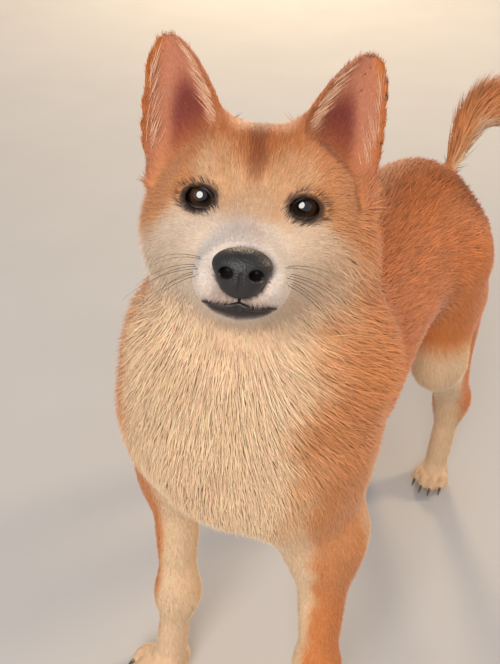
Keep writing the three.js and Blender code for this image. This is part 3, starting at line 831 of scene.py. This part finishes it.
# A long tuft has two bends and seven corners, a short one is a single spike with four
LONG_FACES = np.array([
    (0, 1, 2),
    (0, 4, 1), (0, 3, 4),
    (1, 5, 2), (1, 4, 5),
    (2, 3, 0), (2, 5, 3),
    (3, 6, 4), (4, 6, 5), (5, 6, 3),
])
SHORT_FACES = np.array([(0, 1, 2), (0, 3, 1), (1, 3, 2), (2, 3, 0)])
LONG_PATCH = np.array([(0, 0), (1, 0), (0.5, 0.15), (0.12, 0.5), (0.88, 0.5), (0.5, 0.6), (0.5, 1)])
SHORT_PATCH = LONG_PATCH[[0, 1, 2, 6]]
PATCH = 0.003


def tufts(name, roots, normals, ways, lengths, widths, lifts, colours, tips, uvs, material, short=False):
    """One mesh of closed, tapered and slightly curved tufts, shaded as the skin under them."""
    n = len(roots)
    across = unit(np.cross(ways, normals))
    base = roots - normals * np.minimum(0.9, lengths * 0.07)[:, None]
    w = widths[:, None]
    length = lengths[:, None]
    first = np.radians(lifts * (1 if short else 1.45))[:, None]
    second = np.radians(lifts * 0.55)[:, None]
    up_first = ways * np.cos(first) + normals * np.sin(first)
    up_second = ways * np.cos(second) + normals * np.sin(second)
    foot = [base - across * w * 0.5, base + across * w * 0.5, base + normals * w * 0.45]
    if short:
        points = foot + [base + up_first * length]
        along = np.array([0, 0, 0, 1.0])
        lean = np.array([-1, 1, 0, 0])
        faces, patch = SHORT_FACES, SHORT_PATCH
    else:
        middle = base + up_first * length * 0.5
        bend = [middle - across * w * 0.42, middle + across * w * 0.42, middle + normals * w * 0.36]
        points = foot + bend + [middle + up_second * length * 0.5]
        along = np.array([0, 0, 0, 0.45, 0.45, 0.5, 1.0])
        lean = np.array([-1, 1, 0, -1, 1, 0, 0])
        faces, patch = LONG_FACES, LONG_PATCH
    points = np.stack(points, 1).reshape(-1, 3)
    points[:, 2] = np.maximum(points[:, 2], FLOOR_GAP)
    corners = len(along)
    faces = (faces[None] + (np.arange(n) * corners)[:, None, None]).reshape(-1, 3)
    obj = mesh_object(name, points, faces, material)
    soft = normals[:, None, :] + across[:, None, :] * lean[None, :, None] * 0.4
    obj.data.normals_split_custom_set_from_vertices(unit(soft).reshape(-1, 3).tolist())
    rgb = colours[:, None, :] * (1 - along[None, :, None]) + tips[:, None, :] * along[None, :, None]
    # each tuft is painted darker towards its root: painted shade deep in the coat
    paint(obj, (rgb * (0.88 + 0.12 * np.sqrt(along))[None, :, None]).reshape(-1, 3))
    per_vertex = (uvs[:, None, :] + (patch - 0.5)[None] * PATCH).reshape(-1, 2)
    set_unwrap(obj, per_vertex[corner_vertices(obj)])
    return obj


# Materials, with the iris's measures in metres
IRIS_WOBBLE = 0.0009
IRIS_SCALE = 0.012


def principled(name, **values):
    """A new material, its node tree and its shader, with the shader's own values set."""
    m = bpy.data.materials.new(name)
    m.use_nodes = True
    shader = m.node_tree.nodes["Principled BSDF"]
    for key, value in values.items():
        shader.inputs[key.replace("_", " ")].default_value = value
    return m, m.node_tree, shader


def noise_node(tree, scale, detail=3.0, rough=0.6):
    place = tree.nodes.new("ShaderNodeTexCoord")
    n = tree.nodes.new("ShaderNodeTexNoise")
    n.inputs["Scale"].default_value = scale
    n.inputs["Detail"].default_value = detail
    n.inputs["Roughness"].default_value = rough
    tree.links.new(place.outputs["Object"], n.inputs["Vector"])
    return n


def ranged(tree, source, low, high):
    """A source from 0 to 1, brought between two values."""
    r = tree.nodes.new("ShaderNodeMapRange")
    r.inputs["To Min"].default_value = low
    r.inputs["To Max"].default_value = high
    tree.links.new(source, r.inputs["Value"])
    return r.outputs["Result"]


def marked(tree, shader, noise, low, high):
    """The vertex colours, markings with their painted shade and glow, lightened and darkened by a noise."""
    attribute = tree.nodes.new("ShaderNodeAttribute")
    attribute.attribute_name = "markings"
    amount = ranged(tree, noise.outputs["Fac"], low, high)
    hue = tree.nodes.new("ShaderNodeHueSaturation")
    tree.links.new(attribute.outputs["Color"], hue.inputs["Color"])
    tree.links.new(amount, hue.inputs["Value"])
    tree.links.new(hue.outputs["Color"], shader.inputs["Base Color"])


def coloured(tree, shader, source, stops):
    """The base colour from a ramp over a source, each stop a place and a linear colour."""
    ramp = tree.nodes.new("ShaderNodeValToRGB")
    elements = ramp.color_ramp.elements
    while len(elements) < len(stops):
        elements.new(0.5)
    for element, (at, colour) in zip(elements, stops):
        element.position = at
        element.color = (*colour, 1)
    tree.links.new(source, ramp.inputs["Fac"])
    tree.links.new(ramp.outputs["Color"], shader.inputs["Base Color"])


def mottled(name, scale, dark, light, roughness=None, **values):
    """A material whose colour, and roughness where two are given, vary with one noise."""
    m, tree, shader = principled(name, **values)
    noise = noise_node(tree, scale).outputs["Fac"]
    coloured(tree, shader, noise, [(0.0, dark), (1.0, light)])
    if roughness:
        tree.links.new(ranged(tree, noise, *roughness), shader.inputs["Roughness"])
    return m, tree, shader, noise


def bumped(tree, shader, source, strength, distance):
    b = tree.nodes.new("ShaderNodeBump")
    b.inputs["Strength"].default_value = strength
    b.inputs["Distance"].default_value = distance
    tree.links.new(source, b.inputs["Height"])
    tree.links.new(b.outputs["Normal"], shader.inputs["Normal"])


def skin_material():
    m, tree, shader = principled("undercoat", Roughness=0.9, Specular_IOR_Level=0.15)
    noise = noise_node(tree, 420)
    marked(tree, shader, noise, 0.72, 1.05)
    bumped(tree, shader, noise.outputs["Fac"], 0.5, 0.002)
    return m


def coat_material(name, rough):
    m, tree, shader = principled(name, Roughness=rough, Specular_IOR_Level=0.28)
    shader.inputs["Sheen Weight"].default_value = 0.25
    shader.inputs["Sheen Roughness"].default_value = 0.4
    noise = noise_node(tree, 900, 2.0)
    marked(tree, shader, noise, 0.82, 1.14)
    return m


def nose_material():
    m, tree, shader, _ = mottled(
        "nose_leather", 160, (0.008, 0.007, 0.007), (0.020, 0.017, 0.018), (0.42, 0.6),
        Specular_IOR_Level=0.55,
    )
    cells = tree.nodes.new("ShaderNodeTexVoronoi")
    cells.inputs["Scale"].default_value = 900
    place = tree.nodes.new("ShaderNodeTexCoord")
    tree.links.new(place.outputs["Object"], cells.inputs["Vector"])
    bumped(tree, shader, cells.outputs["Distance"], 0.45, 0.0005)
    return m


def lid_material():
    m, tree, shader, noise = mottled(
        "lid_rim", 700, (0.008, 0.006, 0.006), (0.035, 0.022, 0.018), (0.35, 0.6), Specular_IOR_Level=0.5
    )
    bumped(tree, shader, noise, 0.4, 0.0004)
    return m


def worked(tree, kind, operation, *values):
    """A math node, fed by other nodes or set to numbers."""
    node = tree.nodes.new(kind)
    node.operation = operation
    for socket, value in zip(node.inputs, values):
        if isinstance(value, float):
            socket.default_value = value
        else:
            tree.links.new(value, socket)
    return node.outputs["Value"]


def eye_material():
    """A dark brown iris round a black pupil, measured from the eye's own forward axis."""
    m, tree, shader = principled(
        "eye", Roughness=0.04, Specular_IOR_Level=0.6, Coat_Weight=1.0, Coat_Roughness=0.02
    )
    place = tree.nodes.new("ShaderNodeTexCoord")
    split = tree.nodes.new("ShaderNodeSeparateXYZ")
    tree.links.new(place.outputs["Object"], split.inputs["Vector"])
    flat = tree.nodes.new("ShaderNodeCombineXYZ")
    tree.links.new(split.outputs["X"], flat.inputs["X"])
    tree.links.new(split.outputs["Z"], flat.inputs["Y"])
    length = worked(tree, "ShaderNodeVectorMath", "LENGTH", flat.outputs["Vector"])
    streaks = noise_node(tree, 700, 4.0).outputs["Fac"]
    wobble = worked(tree, "ShaderNodeMath", "MULTIPLY_ADD", streaks, IRIS_WOBBLE, length)
    scaled = worked(tree, "ShaderNodeMath", "DIVIDE", wobble, IRIS_SCALE)
    coloured(tree, shader, scaled, [
        (0.0, (0.002, 0.002, 0.002)),
        (0.30, (0.003, 0.002, 0.002)),
        (0.36, (0.030, 0.013, 0.006)),
        (0.56, (0.060, 0.028, 0.012)),
        (0.66, (0.008, 0.005, 0.004)),
        (0.80, (0.02, 0.013, 0.011)),
    ])
    return m


def ring_faces(start, rings, around):
    """Triangles between rings of points, from the first ring's first point on."""
    faces = []
    for i in range(rings - 1):
        for k in range(around):
            a = start + i * around + k
            b = start + i * around + (k + 1) % around
            faces.append((a, b, b + around))
            faces.append((a, b + around, a + around))
    return faces


def tube(path, radii, around=6):
    """Points and triangles of a closed tube along a path."""
    path = np.asarray(path, float)
    along = unit(np.gradient(path, axis=0))
    up = np.array([0.02, 0.03, 1.0])
    side = unit(np.cross(along, up))
    top = np.cross(side, along)
    points = []
    for i in range(len(path)):
        for k in range(around):
            a = 2 * math.pi * k / around
            points.append(path[i] + (side[i] * math.cos(a) + top[i] * math.sin(a)) * radii[i])
    faces = ring_faces(0, len(path), around)
    last = (len(path) - 1) * around
    for k in range(1, around - 1):
        faces.append((0, k + 1, k))
        faces.append((last, last + k, last + k + 1))
    return np.array(points), np.array(faces)


def joined(parts):
    """One set of points and faces from several."""
    points = []
    faces = []
    count = 0
    for p, f in parts:
        points.append(p)
        faces.append(f + count)
        count += len(p)
    return np.concatenate(points), np.concatenate(faces)


def on_skin(start, way, field, steps=50):
    """Moves points along their ways until they reach a surface."""
    p = np.array(start, float)
    for _ in range(steps):
        p = p - way * field(p)[:, None] * 0.7
    return p


def model_shift():
    """How far the solids' origin was moved: from an eye's modelled place to where it stands."""
    low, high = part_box("eye_left")
    centre = np.array((low + high) / 2) * 1000
    return centre - from_head(eye_place(1))


SHIFT = model_shift()
# The camera's place is in the model's millimetres, and the picture is 664 pixels high
CAMERA_PLACE = np.array([209.0, -494.0, 645.0])
CAMERA_TURN = turn("z", 31.7) @ turn("x", -35.5) @ turn("y", -0.8)
FOCAL_PIXELS = 800
PICTURE_HEIGHT = 664
SENSOR_WIDTH = 36
FLESH = ["torso", "neck", "head", "ear_left", "ear_right", "tail_root", "tail_arch", "tail_tip"]
FLESH += [
    f"{part}_{end}_{side}"
    for part in ("leg", "paw")
    for end in ("front", "hind")
    for side in ("left", "right")
]
COAT_SHARE = 1.0
MOST_LONG = 19000
MOST_SHORT = 47500
STRAY_SHARE = 0.06
STRAY_REGION_LENGTH = 14
STRAY_MOST_LIFT = 17


def make_skin():
    points, quads = skin_mesh()
    fields = region_fields(points)
    shares = region_shares(fields)
    skin = mesh_object("skin", points, quads, skin_material())
    normals = slope_of(skin_field, points, skin_field(points))
    paint(skin, coat_colour(points, shares) * 0.97)
    extent = lay_out_charts(points, normals, shares)
    loops = corner_vertices(skin)
    # each face lies on the chart of its own first corner, so no face is stretched over two
    first = loops[0::4]
    chart, _ = unwrap_place(points[first], normals[first], shares[first])
    chart = np.repeat(chart, 4)
    flat = flattened(points[loops], (chart % 6) // 2)
    uv = np.zeros((len(loops), 2))
    for c, (origin, low) in CHART_ORIGIN.items():
        here = chart == c
        uv[here] = (flat[here] - low + origin) / extent
    set_unwrap(skin, uv)
    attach(skin, "root")
    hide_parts(*FLESH)
    return points, quads, normals, shares, extent


def make_coat(points, quads, normals, shares, extent):
    """Tufts over the skin, thinned out where it is bare and laid the way that the coat grows."""
    a, b, c, d = (points[quads[:, n]] for n in range(4))
    area = 0.5 * np.linalg.norm(np.cross(c - a, d - b), axis=1)
    middle_share = shares[quads].mean(1)
    tufts_for = np.array([TUFTS[r] for r in REGIONS])
    density = middle_share @ tufts_for[:, 3]
    centre = (a + b + c + d) / 4
    q = to_head(centre)
    face = middle_share[:, HEAD]
    muzzle = 1 - muzzle_thinning(centre)
    density *= 1 + face * muzzle * 0.9
    under_foot = smooth(6, 3, centre[:, 2])
    density *= 1 - under_foot
    density *= nose_pad(q) > 0.7
    for side in (-1, 1):
        e = q - eye_place(side)
        density *= (np.hypot(e[:, 0] / EYE_BARE[0], e[:, 2] / EYE_BARE[1]) > 1) | (e[:, 1] > 6)
        ear = to_ear(centre, side)
        half = ear_width(ear_rise(ear))
        inner_face = (ear[:, 1] < 0.3 * half) & (np.abs(ear[:, 0]) < half * 0.8)
        density *= 1 - 0.5 * (inner_face & (ear_field(centre, side) < 3))
    expected = density * area / 100 * COAT_SHARE
    count = np.floor(expected + rng.random(len(expected))).astype(int)
    at = np.repeat(np.arange(len(quads)), count)
    u = rng.random((len(at), 2))
    u0 = u[:, :1]
    u1 = u[:, 1:]
    roots = (a[at] * (1 - u0) + b[at] * u0) * (1 - u1) + (d[at] * (1 - u0) + c[at] * u0) * u1
    n = unit(normals[quads[at]].mean(1))
    s = shares[quads[at]].mean(1)
    colours = coat_colour(roots, s)
    ways = lie(roots, n, s)
    scatter = rng.normal(size=(len(at), 3)) * 0.16
    ways = unit(ways + scatter - n * np.einsum("ij,ij->i", scatter, n)[:, None])
    kinds = s @ tufts_for[:, :3]
    head = s[:, HEAD]
    grow = muzzle_thinning(roots)
    qr = to_head(roots)
    cheek = smooth(30, 62, np.abs(qr[:, 0])) * smooth(10, -10, qr[:, 2]) * head
    lengths = kinds[:, 0] * (1 - head * (1 - grow) * 0.66) * (1 + cheek * 0.8)
    lengths = lengths * rng.uniform(0.75, 1.2, len(at))
    widths = kinds[:, 1] * (1 - head * (1 - grow) * 0.4) * rng.uniform(0.75, 1.25, len(at))
    lifts = kinds[:, 2] * rng.uniform(0.7, 1.3, len(at))
    # a few hairs of the long coat stand out from the rest
    stray = (rng.random(len(at)) < STRAY_SHARE) & (kinds[:, 0] > STRAY_REGION_LENGTH)
    lifts = np.where(stray, np.minimum(lifts * 1.9, STRAY_MOST_LIFT), lifts)
    widths = np.where(stray, widths * 0.5, widths)
    tone = rng.normal(0, 0.05, (len(at), 1)) + rng.normal(0, 0.012, (len(at), 3))
    colours = np.clip(colours * (1 + tone), 0, 1)
    # tips are a little darker on the red back and paler elsewhere
    redness = np.clip((colours[:, 0] - colours[:, 2]) * 2 - 0.3, 0, 1)
    dark_tip = (rng.random(len(at)) < 0.28) * redness * smooth(250, 330, roots[:, 2])
    dark_tip = dark_tip * (1 - s[:, EAR])
    tips = mixed(colours * 1.06, colours * 0.78, dark_tip)
    uvs = unwrap(roots, n, s, extent)
    material = coat_material("coat", 0.62)
    region = s.argmax(1)
    is_short = np.isin(region, [REGIONS.index(r) for r in SHORT])
    number = 0
    for short, most in ((False, MOST_LONG), (True, MOST_SHORT)):
        order = np.flatnonzero(is_short == short)
        order = order[np.argsort(region[order], kind="stable")]
        for start in range(0, len(order), most):
            pick = order[start : start + most]
            piece = tufts(
                f"coat_{number:02d}", roots[pick], n[pick], ways[pick], lengths[pick], widths[pick],
                lifts[pick], colours[pick], tips[pick], uvs[pick], material, short,
            )
            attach(piece, "root")
            number += 1
    print("tufts", len(at), "pieces", number)


def look_turn(place):
    """A turn whose -Y axis points from a place to the camera."""
    back = -unit(CAMERA_PLACE - place)
    right = unit(np.cross(back, np.array([0, 0, 1.0])))
    up = np.cross(right, back)
    return np.stack([right, back, up], 1)


def make_eye(side, word):
    """An eyeball that bulges a little at its front, turned to the camera."""
    rings = 32
    around = 48
    points = [(0, -1.0, 0)]
    for i in range(1, rings):
        a = math.pi * i / rings
        for k in range(around):
            b = 2 * math.pi * k / around
            points.append((math.sin(a) * math.cos(b), -math.cos(a), math.sin(a) * math.sin(b)))
    points.append((0, 1.0, 0))
    points = np.array(points)
    bulge = 1 + 0.07 * smooth(0.70, 0.95, -points[:, 1])
    points = points * (EYE_RADIUS * bulge)[:, None]
    faces = ring_faces(1, rings - 1, around)
    last = 1 + (rings - 2) * around
    for k in range(around):
        faces.append((0, 1 + (k + 1) % around, 1 + k))
        faces.append((len(points) - 1, last + k, last + (k + 1) % around))
    centre = from_head(eye_place(side))
    eye = mesh_object("eye_" + word, points - SHIFT, faces, eye_material())
    matrix = Matrix(look_turn(centre).tolist()).to_4x4()
    matrix.translation = Vector((centre + SHIFT) / 1000)
    eye.matrix_world = matrix
    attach(eye, "root")
    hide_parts("eye_" + word)


def lid_edge(side, angle):
    """The opening between the lids: pointed corners, the outer one a little higher."""
    c = math.cos(angle)
    s = math.sin(angle)
    x = LID_HALF_WIDTH * c
    height = (UPPER_LID if s > 0 else LOWER_LID) * abs(s) ** 0.85
    z = math.copysign(height, s) + 1.4 * c
    return side * x, z


def make_lids(side, word):
    """A ring of skin round the opening, resting on the eyeball and sunk under the coat outside."""
    steps = 72
    # the ring's section: how far out from the opening, and how far above the eyeball
    section = [(-0.3, 0.05), (0.0, 1.0), (1.0, 1.6), (2.1, 1.3), (3.4, -0.2), (1.4, -1.5)]
    tilt = turn("z", side * 14)
    points = []
    for i in range(steps):
        a = 2 * math.pi * i / steps
        x, z = lid_edge(side, a)
        outward = np.array([x, z]) / math.hypot(x, z)
        for off, rise in section:
            px = x + outward[0] * off
            pz = z + outward[1] * off
            reach = EYE_RADIUS * 1.015 + rise
            flat = min(math.hypot(px, pz), reach * 0.98)
            y = -math.sqrt(reach**2 - flat**2)
            points.append((px, y, pz))
    points = np.array(points) @ tilt.T + eye_place(side)
    faces = []
    m = len(section)
    for i in range(steps):
        for k in range(m):
            a = i * m + k
            b = i * m + (k + 1) % m
            c = ((i + 1) % steps) * m + (k + 1) % m
            d = ((i + 1) % steps) * m + k
            faces.append((a, b, c, d) if side > 0 else (d, c, b, a))
    lids = mesh_object("lids_" + word, from_head(points), faces, lid_material())
    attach(lids, "root")


def nose_field(q):
    """The nose pad with its nostrils and the groove between them."""
    front = -NOSE_REACH
    pad = nose_pad(q)
    holes = blend(
        1.5,
        *[ellipsoid(q, (s * 7, front + 3, -28), (3.4, 9, 2.8)) for s in (-1, 1)],
        *[limb(q, (s * 8, front + 1, -28.6), (s * 14, front + 8, -31), 1.5, 1.2) for s in (-1, 1)],
        limb(q, (0, front - 0.4, -28), (0, front + 2, -42), 0.5, 0.9),
    )
    return -blend(1.2, -pad, holes)


def make_nose():
    step = 0.6
    front = -NOSE_REACH
    xs = np.arange(-19, 19, step)
    ys = np.arange(front - 4, front + 24, step)
    zs = np.arange(-45, -12, step)
    grid = np.stack(np.meshgrid(xs, ys, zs, indexing="ij"), -1).reshape(-1, 3)
    value = nose_field(grid).reshape(len(xs), len(ys), len(zs))
    points, quads = nets(value, (xs, ys, zs), nose_field, 1)
    nose = mesh_object("nose", from_head(points), quads, nose_material())
    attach(nose, "root")
    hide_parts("nose")


def skin_in_head(q):
    return skin_field(from_head(q))


def lip_path(samples=40):
    """Points on the skin from one corner of the mouth to the other."""
    angles = np.radians(np.linspace(-LIP_CORNER_ANGLE, LIP_CORNER_ANGLE, samples))
    back = np.abs(angles) / math.radians(LIP_CORNER_ANGLE)
    level = LIP_LEVEL - 1.6 * np.sin(np.minimum(1, back * 1.8) * math.pi) - 3.5 * back**2
    start = np.stack([np.zeros(samples), np.full(samples, -34.0), level], 1)
    way = np.stack([np.sin(angles), -np.cos(angles), np.zeros(samples)], 1)
    return on_skin(start, way, skin_in_head)


def make_mouth():
    """The dark line of the closed lips and the groove under the nose."""
    lips = lip_path()
    taper = 1.3 - 0.9 * np.abs(np.linspace(-1, 1, len(lips))) ** 2
    start = np.stack([np.zeros(8), np.full(8, -40.0), np.linspace(-38, LIP_LEVEL, 8)], 1)
    cleft = on_skin(start, np.tile([0, -1.0, 0], (8, 1)), skin_in_head)
    parts = [tube(lips, taper, 8), tube(cleft, np.full(8, 0.8), 8)]
    points, faces = joined(parts)
    mouth = mesh_object("lips", from_head(points), faces, lid_material())
    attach(mouth, "root")


def make_whiskers():
    m = mottled(
        "whisker", 300, (0.02, 0.016, 0.015), (0.10, 0.08, 0.07), (0.4, 0.6), Specular_IOR_Level=0.4
    )[0]
    parts = []
    for side in (-1, 1):
        for row in range(3):
            for k in range(3):
                y = -57 + k * 6 + row * 1.5
                z = -26 - row * 4
                start = on_skin([(side * 4, y, z)], np.array([(side, 0, 0)]), skin_in_head)[0]
                length = rng.uniform(24, 40)
                out = unit(np.array([side, -0.2 + k * 0.25, 0.15 - row * 0.25]))
                bend = np.array([-side * 0.2, 0.5, -1.1])
                t = np.linspace(0, 1, 9)[:, None]
                path = start + out * length * t + bend * length * 0.35 * t**2
                parts.append(tube(path, 0.17 * (1 - 0.75 * t[:, 0]), 5))
    points, faces = joined(parts)
    whiskers = mesh_object("whiskers", from_head(points), faces, m)
    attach(whiskers, "root")


def make_claws():
    parts = []
    for place, degrees, size in PAWS:
        back = turn("z", degrees)
        for order in range(4):
            toe = toe_place(order, size)
            t = np.linspace(0, 1, 7)[:, None]
            reach = np.array([(order - 1.5) * 0.8, -9.0, -5.0]) * size
            start = toe + np.array([0, -12.5, 1.5]) * size
            path = start + reach * t + np.array([0, 0, -1.5]) * t**2
            path = path @ back.T + np.array([place[0], place[1], 0.0])
            parts.append(tube(path, 2.0 * size * (1 - 0.8 * t[:, 0] ** 1.6), 8))
    points, faces = joined(parts)
    points[:, 2] = np.maximum(points[:, 2], FLOOR_GAP)
    horn = mottled(
        "claw_horn", 350, (0.03, 0.02, 0.015), (0.16, 0.10, 0.07), (0.3, 0.5), Specular_IOR_Level=0.5
    )[0]
    claws = mesh_object("claws", points, faces, horn)
    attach(claws, "root")


def make_ear_hairs():
    """Long pale hairs that cross the opening of each ear from its front edge."""
    roots = []
    normals = []
    ways = []
    count = 380
    for side in (-1, 1):
        t = rng.uniform(0.12, 0.78, count)
        edge = rng.choice([-1, 1], count, p=[0.75, 0.25])
        half = ear_width(t)
        x = edge * half * rng.uniform(0.8, 0.97, count)
        y = ear_fold(x / half, half)[1] - 2.5
        z = t * (EAR_HEIGHT + EAR_FOOT) - EAR_FOOT
        at = np.stack([x + EAR_LEAN * t**2, y, z], 1)
        inward = -edge * rng.uniform(0.35, 0.8, count)
        way = np.stack([inward, rng.uniform(-0.2, 0.15, count), np.ones(count)], 1)
        base = from_ear(at, side)
        roots.append(base)
        ways.append(unit(from_ear(at + unit(way), side) - base))
        front = from_ear(at + np.array([0, -1.0, 0]), side) - base
        normals.append(unit(front))
    roots = np.concatenate(roots)
    normals = np.concatenate(normals)
    ways = unit(np.concatenate(ways))
    n = len(roots)
    colours = np.clip(EAR_HAIR * (1 + rng.normal(0, 0.06, (n, 1))), 0, 1)
    uvs = np.tile(np.array([[0.985, 0.985]]), (n, 1)) + rng.uniform(-0.008, 0.008, (n, 2))
    hairs = tufts(
        "ear_hairs", roots, normals, ways, rng.uniform(10, 22, n), rng.uniform(0.22, 0.42, n),
        rng.uniform(2, 12, n), colours, np.clip(colours * 1.1, 0, 1), uvs, coat_material("ear_hair", 0.6),
    )
    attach(hairs, "root")


def make_camera():
    data = bpy.data.cameras.new("camera")
    data.sensor_width = SENSOR_WIDTH
    data.lens = FOCAL_PIXELS * SENSOR_WIDTH / PICTURE_HEIGHT
    data.clip_start = 0.01
    camera = bpy.data.objects.new("camera", data)
    r = CAMERA_TURN
    matrix = Matrix(np.stack([r[:, 0], r[:, 2], -r[:, 1]], 1).tolist()).to_4x4()
    matrix.translation = Vector((CAMERA_PLACE + SHIFT) / 1000)
    camera.matrix_world = matrix
    bpy.context.collection.objects.link(camera)
    bpy.context.scene.camera = camera


def make_light(name, place, aim, size, energy, colour):
    data = bpy.data.lights.new(name, "AREA")
    data.shape = "DISK"
    data.size = size
    data.energy = energy
    data.color = colour
    light = bpy.data.objects.new(name, data)
    light.location = Vector(place)
    light.rotation_mode = "QUATERNION"
    light.rotation_quaternion = (Vector(aim) - Vector(place)).to_track_quat("-Z", "Y")
    bpy.context.collection.objects.link(light)


def make_studio():
    points = np.array([(-6000, -6000, 0), (6000, -6000, 0), (6000, 6000, 0), (-6000, 6000, 0)], float) - SHIFT
    m = mottled(
        "pale_floor", 6, (0.46, 0.45, 0.44), (0.51, 0.50, 0.49), Roughness=0.85, Specular_IOR_Level=0.2
    )[0]
    floor = mesh_object("floor", points, [(0, 1, 2, 3)], m)
    world = bpy.data.worlds.new("studio")
    world.use_nodes = True
    background = world.node_tree.nodes["Background"]
    background.inputs["Color"].default_value = (0.86, 0.90, 1.0, 1)
    background.inputs["Strength"].default_value = 0.5
    bpy.context.scene.world = world
    bpy.context.scene.view_settings.view_transform = "Standard"
    middle = (0, -0.05, 0.3)
    make_light("soft_front", (0.5, -2.2, 1.8), middle, 1.6, 58, (1.0, 0.94, 0.87))
    make_light("warm_back_left", (1.9, 2.6, 1.5), (0, -0.1, 0.38), 0.7, 66, (1.0, 0.76, 0.48))
    make_light("warm_back_right", (-1.7, 2.7, 1.4), (0, -0.1, 0.38), 0.7, 66, (1.0, 0.76, 0.48))


surface = make_skin()
make_coat(*surface)
make_ear_hairs()
for eye_side, eye_word in ((-1, "right"), (1, "left")):
    make_eye(eye_side, eye_word)
    make_lids(eye_side, eye_word)
make_nose()
make_mouth()
make_whiskers()
make_claws()
make_camera()
make_studio()
